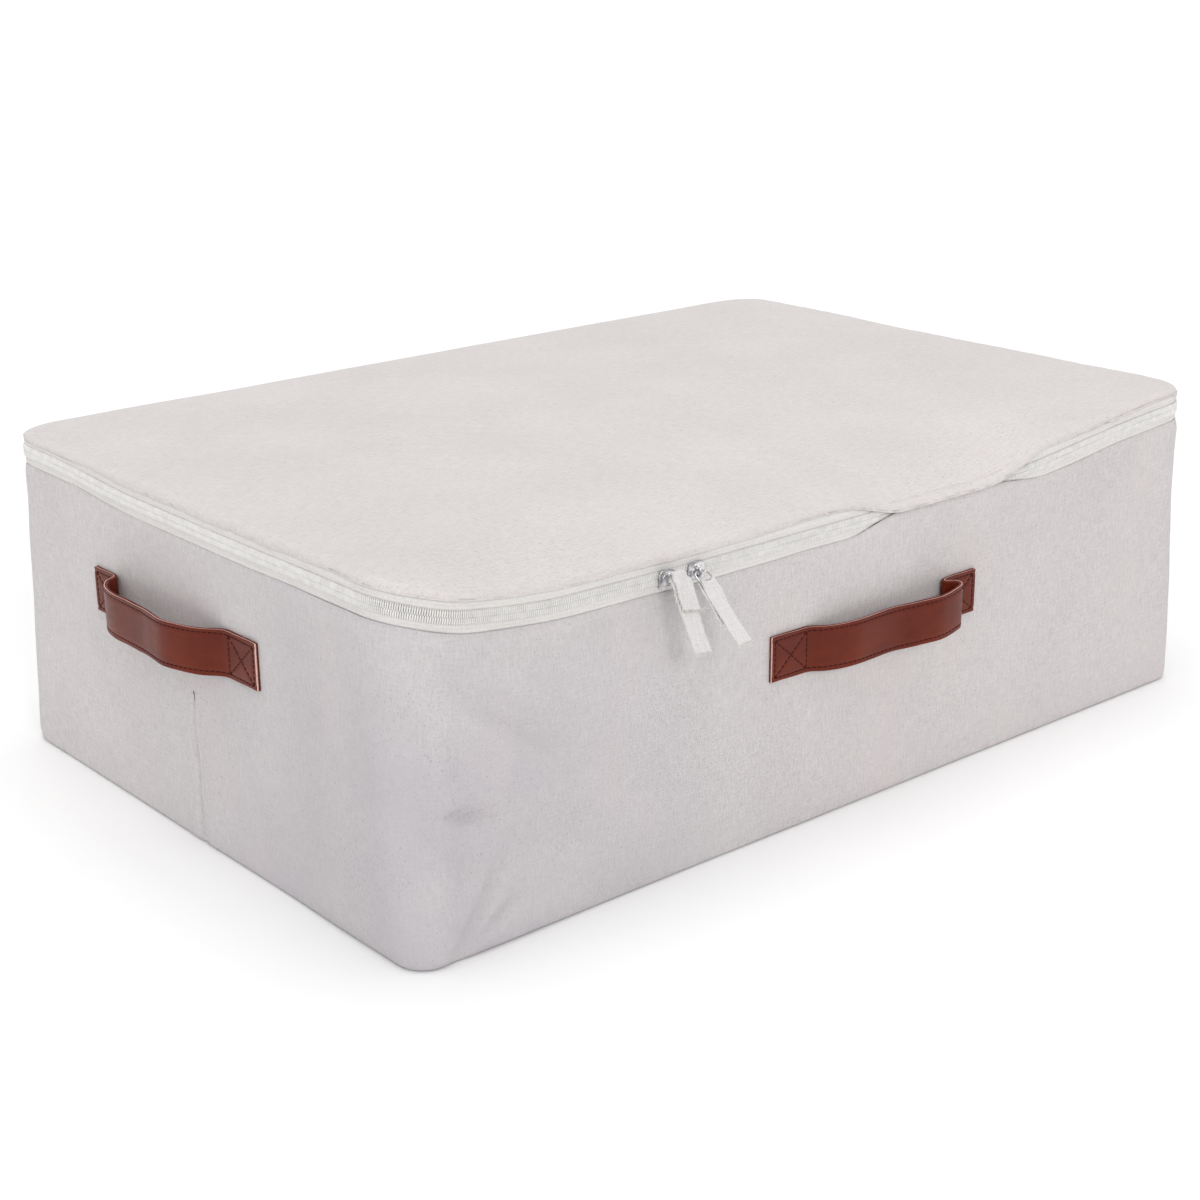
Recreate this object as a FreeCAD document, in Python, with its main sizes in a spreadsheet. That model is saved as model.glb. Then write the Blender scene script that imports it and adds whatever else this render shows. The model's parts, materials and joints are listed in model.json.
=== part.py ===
import FreeCAD, Part
import math
import os

import Sketcher
from FreeCAD import Placement, Rotation, Vector

# Soft-sided storage box with a zipped lid and leather handles.
# Frame: origin on the floor under the middle of the box, X along the front,
# Y from the front to the hinged back, Z up. Millimetres.

os.makedirs("parts", exist_ok=True)
doc = FreeCAD.newDocument("under_bed_box")

# ---------------------------------------------------------------- dimensions

DIMENSIONS = [
    # outside of the closed box
    ("box_width", 600.0, "length of the front, along X"),
    ("box_depth", 400.0, "front to back, along Y"),
    ("box_height", 194.0, "floor to the top of the lid"),
    ("cut_reach", 20.0, "how far a cut runs past the outside of the box"),
    ("bottom_radius", 15.0, "corner radius in plan at the floor"),
    ("top_radius", 38.0, "corner radius in plan at the zipper"),
    ("taper_height", 150.0, "height at which the corners reach the top radius"),
    # layers of the wall, counted inwards from the outside face
    ("canvas", 1.0, "thickness of the outer canvas"),
    ("backer", 0.6, "thickness of the reinforcement behind a handle"),
    ("backer_margin", 2.0, "reinforcement past the edge of the handle's sewn end"),
    ("board_inset", 1.8, "outside face to the stiffening board"),
    ("board", 2.5, "thickness of a stiffening board"),
    ("lining_inset", 4.5, "outside face to the lining"),
    ("lining", 0.6, "thickness of the lining"),
    ("board_top", 149.0, "top edge of the wall boards"),
    ("board_foot", 2.0, "bottom edge of the wall boards"),
    ("board_gap", 4.0, "board's end to the start of the corner curve"),
    # zipper
    ("zip_side", 181.0, "height of the zipper on the sides and back"),
    ("zip_front", 166.0, "height of the zipper in the middle of the front"),
    ("dip_left_start", -285.0, "where the front zipper starts to dip, left"),
    ("dip_left_end", -228.0, "where the dip is complete, left"),
    ("dip_right_end", 143.0, "where the dip is complete, right"),
    ("dip_right_start", 285.0, "where the front zipper starts to dip, right"),
    ("tape_inset", 1.1, "outside face to the zipper tape"),
    ("tape", 0.6, "thickness of the zipper tape"),
    ("tape_drop", 16.0, "zipper line to the tape's sewn edge on the box"),
    ("tape_rise", 8.0, "zipper line to the tape's sewn edge on the lid"),
    ("coil_stand", 1.2, "how far the coil stands outside the wall"),
    ("coil_width", 3.2, "width of one half of the coil"),
    ("zip_gap", 0.8, "zipper line to either half, so that the slider's post passes"),
    ("canvas_edge", 6.0, "zipper line to the folded edge of the canvas"),
    ("zip_end", 190.0, "Y at which the zipper stops on the back corners"),
    ("hinge_inset", 262.0, "half the length of the fabric hinge"),
    # lid
    ("lid_edge", 3.0, "rounding of the lid's top edge, and the inset of its board"),
    ("lid_board_top", 192.8, "top of the lid's board"),
    ("lid_board", 2.2, "thickness of the lid's board"),
    # loose board on the bottom
    ("base_board", 3.0, "thickness of the loose board"),
    ("base_clear", 1.4, "gap between the loose board and the lining"),
    # handles: two layers of leather strap bowed out from the wall
    ("strap_width", 25.5, "height of the strap"),
    ("strap_layer", 1.4, "thickness of each leather layer"),
    ("strap_length", 166.0, "end to end along the wall"),
    ("patch", 26.0, "length of each sewn end"),
    ("strap_bow", 16.0, "how far the grip stands out from the sewn ends"),
    ("strap_bend", 11.0, "radius of the four bends, between the layers"),
    ("front_handle_x", 15.5, "middle of the front handle"),
    ("front_handle_z", 103.5, "height of the front handle"),
    ("side_handle_y", 14.0, "middle of the side handles"),
    ("side_handle_z", 122.0, "height of the side handles"),
    ("thread", 0.8, "width of a line of stitches"),
    ("thread_proud", 0.35, "how far the stitches stand proud"),
    ("stitch_margin", 2.2, "patch edge to the line of stitches"),
    ("seam_y", -3.0, "near edge of the seam in the middle of each short side"),
    ("seam_foot", 3.0, "lower end of that seam"),
    ("seam_top", 101.25, "upper end of that seam"),
    # sliders and pulls
    ("slider_length", 11.0, "along the zipper"),
    ("slider_width", 9.6, "across the zipper"),
    ("slider_plate", 1.0, "thickness of the slider's two plates"),
    ("slider_clear", 0.4, "slider to coil and tape"),
    ("left_slider_x", -142.0, "left slider"),
    ("right_slider_x", -122.5, "right slider"),
    ("post_clear", 0.3, "slider's post to either half of the coil"),
    ("flange", 0.5, "thickness of the slider's turned-in edge"),
    ("bail_radius", 2.9, "middle radius of the slider's bail"),
    ("bail_wire", 0.6, "radius of the bail's wire"),
    ("bail_room", 5.0, "half the height of the block that keeps the bail's arch"),
    ("ring_radius", 4.6, "middle radius of the pull's ring"),
    ("ring_wire", 0.5, "radius of the ring's wire"),
    ("ring_out", 4.0, "outside face to the ring's wire where the bail holds it"),
    ("ring_rise", 0.4, "zipper line to the ring's wire where the bail holds it"),
    ("left_tilt", 125.0, "degrees that the left ring is lifted from hanging"),
    ("right_tilt", 60.0, "degrees that the right ring is lifted from hanging"),
    ("neck_half", 1.6, "half the width of the ribbon where it goes round the ring"),
    ("neck_length", 3.6, "ring's wire to the top of the ribbon's full width"),
    ("neck_sink", 0.5, "how far the neck runs into the ribbon, and starts below the wire"),
    ("loop_hole", 1.0, "radius of the hole in the ribbon's loop"),
    ("loop_wall", 0.35, "thickness of the ribbon's loop"),
    ("loop_drop", 0.15, "ring's middle line to the middle of the loop"),
    ("ribbon_width", 11.0, "width of the pull's ribbon"),
    ("ribbon_thick", 2.0, "thickness of the folded ribbon"),
    ("left_ribbon", 37.8, "length of the left ribbon below its neck"),
    ("right_ribbon", 32.5, "length of the right ribbon below its neck"),
    ("left_swing", 27.0, "degrees that the left ribbon stands out from hanging"),
    ("right_swing", 46.0, "degrees that the right ribbon stands out from hanging"),
]

dims = doc.addObject("Spreadsheet::Sheet", "Dims")
for line, (alias, value, meaning) in enumerate(DIMENSIONS, start=1):
    dims.set(f"A{line}", alias)
    dims.set(f"B{line}", str(value))
    dims.set(f"C{line}", meaning)
    dims.setAlias(f"B{line}", alias)
doc.recompute()


def cell(alias):
    """Value of one driving dimension."""
    return float(dims.get(alias))


def expr(formula):
    """Formula in which every dimension's name is bound to the sheet."""
    for alias in sorted((row[0] for row in DIMENSIONS), key=len, reverse=True):
        formula = formula.replace(f"<{alias}>", f"Dims.{alias}")
    return formula


def value_of(owner, formula):
    """Number that a formula gives now."""
    result = owner.evalExpression(expr(formula))
    return float(getattr(result, "Value", result))


# ------------------------------------------------------------ sketch helpers

def new_body(label):
    body = doc.addObject("PartDesign::Body", label)
    body.Label = label
    return body


def new_sketch(body, role, offset="0"):
    """Sketch on one of the body's own planes, moved along its normal."""
    sketch = body.newObject("Sketcher::SketchObject", f"{body.Name}_sketch")
    plane = next(f for f in body.Origin.OriginFeatures if f.Role == role)
    sketch.AttachmentSupport = [(plane, "")]
    sketch.MapMode = "FlatFace"
    sketch.setExpression("AttachmentOffset.Base.z", expr(offset))
    return sketch


def add(sketch, *arguments, formula=None):
    """Constraint, with its value bound to the sheet when it has one."""
    if formula is None:
        sketch.addConstraint(Sketcher.Constraint(*arguments))
        return
    value = value_of(sketch, formula)
    index = sketch.addConstraint(Sketcher.Constraint(*arguments, value))
    sketch.setExpression(f"Constraints[{index}]", expr(formula))


def add_line(sketch, start, end):
    return sketch.addGeometry(Part.LineSegment(Vector(*start), Vector(*end)), False)


def add_arc(sketch, centre, radius, start_angle, end_angle):
    circle = Part.Circle(Vector(*centre), Vector(0, 0, 1), radius)
    arc = Part.ArcOfCircle(circle, math.radians(start_angle), math.radians(end_angle))
    return sketch.addGeometry(arc, False)


def rounded_rectangle(sketch, width, depth, radius):
    """Rectangle with four equal round corners, centred on the sketch's origin."""
    half_x = value_of(sketch, width) / 2
    half_y = value_of(sketch, depth) / 2
    r = value_of(sketch, radius)
    in_x = half_x - r
    in_y = half_y - r
    bottom = add_line(sketch, (-in_x, -half_y, 0), (in_x, -half_y, 0))
    right = add_line(sketch, (half_x, -in_y, 0), (half_x, in_y, 0))
    top = add_line(sketch, (in_x, half_y, 0), (-in_x, half_y, 0))
    left = add_line(sketch, (-half_x, in_y, 0), (-half_x, -in_y, 0))
    sides = [bottom, right, top, left]
    corners = [
        add_arc(sketch, (in_x, -in_y, 0), r, -90, 0),
        add_arc(sketch, (in_x, in_y, 0), r, 0, 90),
        add_arc(sketch, (-in_x, in_y, 0), r, 90, 180),
        add_arc(sketch, (-in_x, -in_y, 0), r, 180, 270),
    ]
    for number in range(4):
        following = sides[(number + 1) % 4]
        add(sketch, "Tangent", sides[number], 2, corners[number], 1)
        add(sketch, "Tangent", corners[number], 2, following, 1)
    add(sketch, "Horizontal", bottom)
    add(sketch, "Horizontal", top)
    add(sketch, "Vertical", right)
    add(sketch, "Vertical", left)
    for corner in corners[1:]:
        add(sketch, "Equal", corners[0], corner)
    add(sketch, "Radius", corners[0], formula=radius)
    add(sketch, "DistanceX", -1, 1, right, 1, formula=f"({width}) / 2")
    add(sketch, "DistanceX", left, 1, -1, 1, formula=f"({width}) / 2")
    add(sketch, "DistanceY", bottom, 1, -1, 1, formula=f"({depth}) / 2")
    add(sketch, "DistanceY", -1, 1, top, 1, formula=f"({depth}) / 2")


def rectangle(sketch, left_x, right_x, low_y, high_y):
    """Rectangle between four formulas in the sketch's own axes."""
    x0 = value_of(sketch, left_x)
    x1 = value_of(sketch, right_x)
    y0 = value_of(sketch, low_y)
    y1 = value_of(sketch, high_y)
    corners = [(x0, y0, 0), (x1, y0, 0), (x1, y1, 0), (x0, y1, 0)]
    sides = [add_line(sketch, corners[n], corners[(n + 1) % 4]) for n in range(4)]
    for number in range(4):
        add(sketch, "Coincident", sides[number], 2, sides[(number + 1) % 4], 1)
    add(sketch, "Horizontal", sides[0])
    add(sketch, "Horizontal", sides[2])
    add(sketch, "Vertical", sides[1])
    add(sketch, "Vertical", sides[3])
    add(sketch, "DistanceX", -1, 1, sides[0], 1, formula=left_x)
    add(sketch, "DistanceX", -1, 1, sides[0], 2, formula=right_x)
    add(sketch, "DistanceY", -1, 1, sides[0], 1, formula=low_y)
    add(sketch, "DistanceY", -1, 1, sides[2], 1, formula=high_y)


def zip_curve(sketch, shift, limit):
    """Region between the zipper line, moved by shift, and the height limit.

    The line is level on the sides, dips through an S of two equal arcs near each
    front corner, and is level and lower along the middle of the front."""
    side_formula = f"<zip_side> + ({shift})"
    front_formula = f"<zip_front> + ({shift})"
    side = value_of(sketch, side_formula)
    front = value_of(sketch, front_formula)
    edge = cell("box_width") / 2 + cell("cut_reach")
    far = value_of(sketch, limit)
    x1, x2 = cell("dip_left_start"), cell("dip_left_end")
    x3, x4 = cell("dip_right_end"), cell("dip_right_start")
    drop = side - front

    def s_radius(run):
        return (run * run + drop * drop) / (4 * drop)

    r_left = s_radius(x2 - x1)
    r_right = s_radius(x4 - x3)
    turn_left = math.degrees(math.asin((x2 - x1) / 2 / r_left))
    turn_right = math.degrees(math.asin((x4 - x3) / 2 / r_right))
    first = add_line(sketch, (-edge, side, 0), (x1, side, 0))
    arc_a = add_arc(sketch, (x1, side - r_left, 0), r_left, 90 - turn_left, 90)
    arc_b = add_arc(sketch, (x2, front + r_left, 0), r_left, 270 - turn_left, 270)
    middle = add_line(sketch, (x2, front, 0), (x3, front, 0))
    arc_c = add_arc(sketch, (x3, front + r_right, 0), r_right, 270, 270 + turn_right)
    arc_d = add_arc(sketch, (x4, side - r_right, 0), r_right, 90, 90 + turn_right)
    last = add_line(sketch, (x4, side, 0), (edge, side, 0))
    right = add_line(sketch, (edge, side, 0), (edge, far, 0))
    across = add_line(sketch, (edge, far, 0), (-edge, far, 0))
    left = add_line(sketch, (-edge, far, 0), (-edge, side, 0))
    add(sketch, "Tangent", first, 2, arc_a, 2)
    add(sketch, "Tangent", arc_a, 1, arc_b, 1)
    add(sketch, "Tangent", arc_b, 2, middle, 1)
    add(sketch, "Tangent", middle, 2, arc_c, 1)
    add(sketch, "Tangent", arc_c, 2, arc_d, 2)
    add(sketch, "Tangent", arc_d, 1, last, 1)
    add(sketch, "Equal", arc_a, arc_b)
    add(sketch, "Equal", arc_c, arc_d)
    for one, other in ((last, right), (right, across), (across, left), (left, first)):
        add(sketch, "Coincident", one, 2, other, 1)
    for level in (first, middle, last, across):
        add(sketch, "Horizontal", level)
    for upright in (right, left):
        add(sketch, "Vertical", upright)
    add(sketch, "DistanceY", -1, 1, first, 1, formula=side_formula)
    add(sketch, "DistanceY", -1, 1, last, 1, formula=side_formula)
    add(sketch, "DistanceY", -1, 1, middle, 1, formula=front_formula)
    add(sketch, "DistanceY", -1, 1, across, 1, formula=limit)
    reach = "<box_width> / 2 + <cut_reach>"
    add(sketch, "DistanceX", first, 1, -1, 1, formula=reach)
    add(sketch, "DistanceX", -1, 1, last, 2, formula=reach)
    add(sketch, "DistanceX", -1, 1, first, 2, formula="<dip_left_start>")
    add(sketch, "DistanceX", -1, 1, middle, 1, formula="<dip_left_end>")
    add(sketch, "DistanceX", -1, 1, middle, 2, formula="<dip_right_end>")
    add(sketch, "DistanceX", -1, 1, last, 1, formula="<dip_right_start>")


# ----------------------------------------------------------- feature helpers

def pad(body, sketch, length):
    feature = body.newObject("PartDesign::Pad", f"{body.Name}_pad")
    feature.Profile = sketch
    feature.setExpression("Length", expr(length))
    doc.recompute()
    return feature


def pocket(body, sketch, length, reverse=False):
    """Cut, with a stop if it removes nothing."""
    before = body.Shape.Volume
    feature = body.newObject("PartDesign::Pocket", f"{body.Name}_pocket")
    feature.Profile = sketch
    feature.Reversed = reverse
    feature.setExpression("Length", expr(length))
    doc.recompute()
    if body.Shape.Volume > before - 1e-3:
        raise RuntimeError(f"{body.Label}: a pocket cuts nothing")
    return feature


def plan_sizes(inset):
    """Width and depth formulas of the box's outline at an inset."""
    return f"<box_width> - 2 * ({inset})", f"<box_depth> - 2 * ({inset})"


def plan_sketch(body, height, inset, radius, second_inset=None):
    """Plan outline of the box at a height, or the ring between two insets."""
    sketch = new_sketch(body, "XY_Plane", height)
    width, depth = plan_sizes(inset)
    rounded_rectangle(sketch, width, depth, f"{radius} - ({inset})")
    if second_inset is not None:
        width, depth = plan_sizes(second_inset)
        rounded_rectangle(sketch, width, depth, f"{radius} - ({second_inset})")
    return sketch


def loft(body, kind, sketches):
    feature = body.newObject(f"PartDesign::{kind}", f"{body.Name}_{kind}")
    feature.Profile = sketches[0]
    feature.Sections = sketches[1:]
    feature.Ruled = True
    doc.recompute()
    return feature


def wall_ring(label, low, outer, inner, high):
    """Wall skin whose corner radius grows with height and then stays."""
    body = new_body(label)
    foot = plan_sketch(body, low, outer, "<bottom_radius>")
    waist = plan_sketch(body, "<taper_height>", outer, "<top_radius>")
    loft(body, "AdditiveLoft", [foot, waist])
    upper = plan_sketch(body, "<taper_height>", outer, "<top_radius>")
    pad(body, upper, f"{high} - <taper_height>")
    foot = plan_sketch(body, low, inner, "<bottom_radius>")
    waist = plan_sketch(body, "<taper_height>", inner, "<top_radius>")
    loft(body, "SubtractiveLoft", [foot, waist])
    upper = plan_sketch(body, "<taper_height>", inner, "<top_radius>")
    pocket(body, upper, f"{high} - <taper_height>", reverse=True)
    return body


def cut_front(body, shift, limit):
    """Trim the front half along the dipping zipper line."""
    sketch = new_sketch(body, "XZ_Plane")
    zip_curve(sketch, shift, limit)
    pocket(body, sketch, "<box_depth> / 2 + <cut_reach>", reverse=True)


def open_back(body):
    """Remove the stretch behind the back corners, where the hinge is."""
    sketch = new_sketch(body, "XY_Plane")
    rectangle(sketch, "-<box_width>", "<box_width>", "<zip_end>", "<box_depth>")
    pocket(body, sketch, "<box_height> * 2", reverse=True)


def band(label, outer, inner, low, high):
    """Thin ring that follows the zipper from one back corner to the other."""
    body = new_body(label)
    start = f"min(<zip_side> + ({low}); <zip_front> + ({low}))"
    ring = plan_sketch(body, start, outer, "<top_radius>", inner)
    pad(body, ring, f"<zip_side> + ({high}) - ({start})")
    cut_front(body, low, "0")
    cut_front(body, high, "<box_height> + <cut_reach>")
    # the sides and back keep only the level band
    back = new_sketch(body, "XZ_Plane")
    rectangle(back, "-<box_width>", "<box_width>", "0", f"<zip_side> + ({low})")
    pocket(body, back, "<box_depth> / 2 + <cut_reach>", reverse=False)
    open_back(body)
    return body


def plate(label, inset, radius, low, thickness):
    """Flat sheet with the box's outline at an inset."""
    body = new_body(label)
    pad(body, plan_sketch(body, low, inset, radius), thickness)
    return body


# --------------------------------------------------------------- box and lid

def make_box():
    plate("bottom_fabric", "0", "<bottom_radius>", "0", "<canvas>")

    wall = wall_ring("wall_fabric", "<canvas>", "0", "<canvas>",
                     "<zip_side> - <canvas_edge>")
    cut_front(wall, "-<canvas_edge>", "<box_height> + <cut_reach>")

    lining = wall_ring("wall_lining", "<canvas> + <lining>", "<lining_inset>",
                       "<lining_inset> + <lining>", "<zip_side> - <canvas_edge>")
    cut_front(lining, "-<canvas_edge>", "<box_height> + <cut_reach>")
    plate("bottom_lining", "<lining_inset>", "<bottom_radius>", "<canvas>", "<lining>")

    for label, side in (("front_board", -1), ("back_board", 1)):
        body = new_body(label)
        sketch = new_sketch(body, "XZ_Plane")
        half = "(<box_width> / 2 - <top_radius> - <board_gap>)"
        rectangle(sketch, f"-{half}", half, "<board_foot>", "<board_top>")
        pad(body, sketch, "<board>")
        near = "<box_depth> / 2 - <board_inset>"
        place = f"-({near}) + <board>" if side < 0 else near
        body.setExpression("Placement.Base.y", expr(place))

    for label, side in (("left_board", -1), ("right_board", 1)):
        body = new_body(label)
        sketch = new_sketch(body, "YZ_Plane")
        half = "(<box_depth> / 2 - <top_radius> - <board_gap>)"
        rectangle(sketch, f"-{half}", half, "<board_foot>", "<board_top>")
        pad(body, sketch, "<board>")
        near = "<box_width> / 2 - <board_inset>"
        place = f"-({near})" if side < 0 else f"{near} - <board>"
        body.setExpression("Placement.Base.x", expr(place))

    loose = "<lining_inset> + <lining> + <base_clear>"
    plate("base_board", loose, "<top_radius>", "<canvas> + <lining>", "<base_board>")


def make_zipper():
    coil_outer = "-<coil_stand>"
    coil_inner = "<tape_inset>"
    tape_outer = "<tape_inset>"
    tape_inner = "<tape_inset> + <tape>"
    reach = "<zip_gap> + <coil_width>"
    band("lower_zipper_tape", tape_outer, tape_inner, "-<tape_drop>", "-<zip_gap>")
    band("lower_zipper_coil", coil_outer, coil_inner, f"-({reach})", "-<zip_gap>")
    band("upper_zipper_tape", tape_outer, tape_inner, "<zip_gap>", "<tape_rise>")
    band("upper_zipper_coil", coil_outer, coil_inner, "<zip_gap>", reach)


def make_hinge():
    """Canvas strip behind the back edges of the wall and the lid."""
    body = new_body("hinge_strip")
    sketch = new_sketch(body, "XZ_Plane")
    rectangle(sketch, "-<hinge_inset>", "<hinge_inset>",
              "<zip_side> - <tape_drop>", "<zip_side>")
    pad(body, sketch, "<tape>")
    body.setExpression("Placement.Base.y", expr("<box_depth> / 2 - <tape_inset>"))


def make_lid():
    lid = new_body("lid_fabric")
    low = "<zip_front> + <canvas_edge>"
    cap = pad(lid, plan_sketch(lid, low, "0", "<top_radius>"), f"<box_height> - ({low})")
    edges = [
        f"Edge{number}"
        for number, edge in enumerate(cap.Shape.Edges, start=1)
        if edge.BoundBox.ZMin > cell("box_height") - 0.01
    ]
    round_over = lid.newObject("PartDesign::Fillet", "lid_round_over")
    round_over.Base = (cap, edges)
    round_over.setExpression("Radius", expr("<lid_edge>"))
    doc.recompute()
    hollow = plan_sketch(lid, low, "<canvas>", "<top_radius>")
    pocket(lid, hollow, f"<lid_board_top> - ({low})", reverse=True)
    cut_front(lid, "<canvas_edge>", "0")
    back = new_sketch(lid, "XZ_Plane")
    rectangle(back, "-<box_width>", "<box_width>", "0", "<zip_side> + <canvas_edge>")
    pocket(lid, back, "<box_depth> / 2 + <cut_reach>", reverse=False)

    board_low = "<lid_board_top> - <lid_board>"
    inset = "<lid_edge>"
    plate("lid_board", inset, "<top_radius>", board_low, "<lid_board>")
    plate("lid_lining", inset, "<top_radius>", f"{board_low} - <lining>", "<lining>")


# ------------------------------------------------------------------- handles

def strap_layer(label, offset):
    """One leather layer: sewn end, S bend, grip, S bend, sewn end.

    The handle's own frame has the wall at y = 0 and the outside towards -y."""
    body = new_body(label)
    shift = f"({offset} - <strap_layer>)"
    ring_in = f"<strap_bend> - {shift}"
    ring_out = f"<strap_bend> + {shift}"
    low = value_of(body, offset)
    bow = cell("strap_bow")
    bend = cell("strap_bend")
    r_in = value_of(body, ring_in)
    r_out = value_of(body, ring_out)
    end = cell("strap_length") / 2
    root = end - cell("patch")
    turn = math.acos(1 - bow / (2 * bend))
    crest = root - 2 * bend * math.sin(turn)
    degrees = math.degrees(turn)

    path = new_sketch(body, "XY_Plane")
    first = add_line(path, (-end, -low, 0), (-root, -low, 0))
    arc_a = add_arc(path, (-root, -low - r_in, 0), r_in, 90 - degrees, 90)
    arc_b = add_arc(path, (-crest, -low - bow + r_out, 0), r_out, 270 - degrees, 270)
    grip = add_line(path, (-crest, -low - bow, 0), (crest, -low - bow, 0))
    arc_c = add_arc(path, (crest, -low - bow + r_out, 0), r_out, 270, 270 + degrees)
    arc_d = add_arc(path, (root, -low - r_in, 0), r_in, 90, 90 + degrees)
    last = add_line(path, (root, -low, 0), (end, -low, 0))
    add(path, "Tangent", first, 2, arc_a, 2)
    add(path, "Tangent", arc_a, 1, arc_b, 1)
    add(path, "Tangent", arc_b, 2, grip, 1)
    add(path, "Tangent", grip, 2, arc_c, 1)
    add(path, "Tangent", arc_c, 2, arc_d, 2)
    add(path, "Tangent", arc_d, 1, last, 1)
    for level in (first, grip, last):
        add(path, "Horizontal", level)
    add(path, "Radius", arc_a, formula=ring_in)
    add(path, "Radius", arc_b, formula=ring_out)
    add(path, "Radius", arc_c, formula=ring_out)
    add(path, "Radius", arc_d, formula=ring_in)
    add(path, "DistanceY", first, 1, -1, 1, formula=offset)
    add(path, "DistanceY", last, 1, -1, 1, formula=offset)
    add(path, "DistanceY", grip, 1, -1, 1, formula=f"{offset} + <strap_bow>")
    add(path, "DistanceX", first, 1, -1, 1, formula="<strap_length> / 2")
    add(path, "DistanceX", -1, 1, last, 2, formula="<strap_length> / 2")
    add(path, "DistanceX", first, 2, -1, 1, formula="<strap_length> / 2 - <patch>")
    add(path, "DistanceX", -1, 1, last, 1, formula="<strap_length> / 2 - <patch>")

    profile = new_sketch(body, "YZ_Plane", "-<strap_length> / 2")
    half = "<strap_layer> / 2"
    rectangle(profile, f"-({offset}) - {half}", f"-({offset}) + {half}",
              "-<strap_width> / 2", "<strap_width> / 2")
    sweep = body.newObject("PartDesign::AdditivePipe", f"{label}_sweep")
    sweep.Profile = profile
    sweep.Spine = path
    doc.recompute()
    return body


def stitching(label):
    """Square of stitches with a cross in it, on each sewn end."""
    margin = "<stitch_margin>"
    middle = "(<strap_length> - <patch>) / 2"
    half_x = f"(<patch> / 2 - {margin})"
    half_z = f"(<strap_width> / 2 - {margin})"
    face = "(2 * <strap_layer>)"
    solids = []

    def bar(name, length, place_x, place_z, angle):
        box = doc.addObject("Part::Box", f"{label}_{name}")
        box.setExpression("Length", expr(length))
        box.setExpression("Width", expr("<thread_proud>"))
        box.setExpression("Height", expr("<thread>"))
        turned = Rotation(Vector(0, -1, 0), angle)
        to_middle = Vector(-value_of(box, length) / 2, 0, -cell("thread") / 2)
        spot = Vector(value_of(box, place_x), 0, value_of(box, place_z))
        spot.y = -value_of(box, f"{face} + <thread_proud>")
        box.Placement = Placement(spot, Rotation()) * Placement(
            turned.multVec(to_middle), turned)
        return box

    for side, sign in (("left", "-"), ("right", "")):
        x = f"{sign}({middle})"
        diagonal = f"2 * sqrt({half_x} ^ 2 + {half_z} ^ 2)"
        slope = math.degrees(math.atan2(cell("strap_width") / 2 - cell("stitch_margin"),
                                        cell("patch") / 2 - cell("stitch_margin")))
        bars = [
            bar(f"{side}_low", f"2 * {half_x} + <thread>", x, f"-{half_z}", 0),
            bar(f"{side}_high", f"2 * {half_x} + <thread>", x, half_z, 0),
            bar(f"{side}_near", f"2 * {half_z} + <thread>", f"{x} - {half_x}", "0", 90),
            bar(f"{side}_far", f"2 * {half_z} + <thread>", f"{x} + {half_x}", "0", 90),
            bar(f"{side}_rising", diagonal, x, "0", slope),
            bar(f"{side}_falling", diagonal, x, "0", -slope),
        ]
        square = doc.addObject("Part::MultiFuse", f"{label}_{side}")
        square.Shapes = bars
        solids.append(square)
    pair = doc.addObject("Part::Compound", label)
    pair.Label = label
    pair.Links = solids
    doc.recompute()
    return pair


def backers(label):
    """Squares of webbing behind the canvas, under the two sewn ends."""
    squares = []
    for side, sign in (("left", "-1"), ("right", "1")):
        square = doc.addObject("Part::Box", f"{label}_{side}")
        square.setExpression("Length", expr("<patch> + 2 * <backer_margin>"))
        square.setExpression("Width", expr("<backer>"))
        square.setExpression("Height", expr("<strap_width> + 2 * <backer_margin>"))
        square.setExpression("Placement.Base.x", expr(
            f"{sign} * (<strap_length> - <patch>) / 2 - <patch> / 2 - <backer_margin>"))
        square.setExpression("Placement.Base.y", expr("<canvas>"))
        square.setExpression("Placement.Base.z", expr(
            "-<strap_width> / 2 - <backer_margin>"))
        squares.append(square)
    pair = doc.addObject("Part::Compound", label)
    pair.Label = label
    pair.Links = squares
    doc.recompute()
    return pair


def make_handles():
    walls = {
        "front": (0, "<front_handle_x>", "-<box_depth> / 2", "<front_handle_z>"),
        "left": (-90, "-<box_width> / 2", "<side_handle_y>", "<side_handle_z>"),
        "right": (90, "<box_width> / 2", "<side_handle_y>", "<side_handle_z>"),
    }
    for wall, (angle, x, y, z) in walls.items():
        pieces = [
            strap_layer(f"{wall}_handle_backing", "<strap_layer> / 2"),
            strap_layer(f"{wall}_handle_strap", "1.5 * <strap_layer>"),
            stitching(f"{wall}_handle_stitching"),
            backers(f"{wall}_handle_reinforcement"),
        ]
        for piece in pieces:
            piece.Placement = Placement(Vector(0, 0, 0), Rotation(Vector(0, 0, 1), angle))
            piece.setExpression("Placement.Base.x", expr(x))
            piece.setExpression("Placement.Base.y", expr(y))
            piece.setExpression("Placement.Base.z", expr(z))


def make_side_seams():
    """Line of stitches that closes the wall canvas, on each short side."""
    seams = []
    for side, sign in (("left", "-1"), ("right", "1")):
        seam = doc.addObject("Part::Box", f"side_seam_{side}")
        seam.setExpression("Length", expr("<thread_proud>"))
        seam.setExpression("Width", expr("<thread>"))
        seam.setExpression("Height", expr("<seam_top> - <seam_foot>"))
        outside = "<box_width> / 2 + <thread_proud> / 2"
        seam.setExpression("Placement.Base.x", expr(
            f"{sign} * ({outside}) - <thread_proud> / 2"))
        seam.setExpression("Placement.Base.y", expr("<seam_y>"))
        seam.setExpression("Placement.Base.z", expr("<seam_foot>"))
        seams.append(seam)
    pair = doc.addObject("Part::Compound", "side_seam_stitching")
    pair.Label = "side_seam_stitching"
    pair.Links = seams
    doc.recompute()


# --------------------------------------------------------- sliders and pulls

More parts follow.
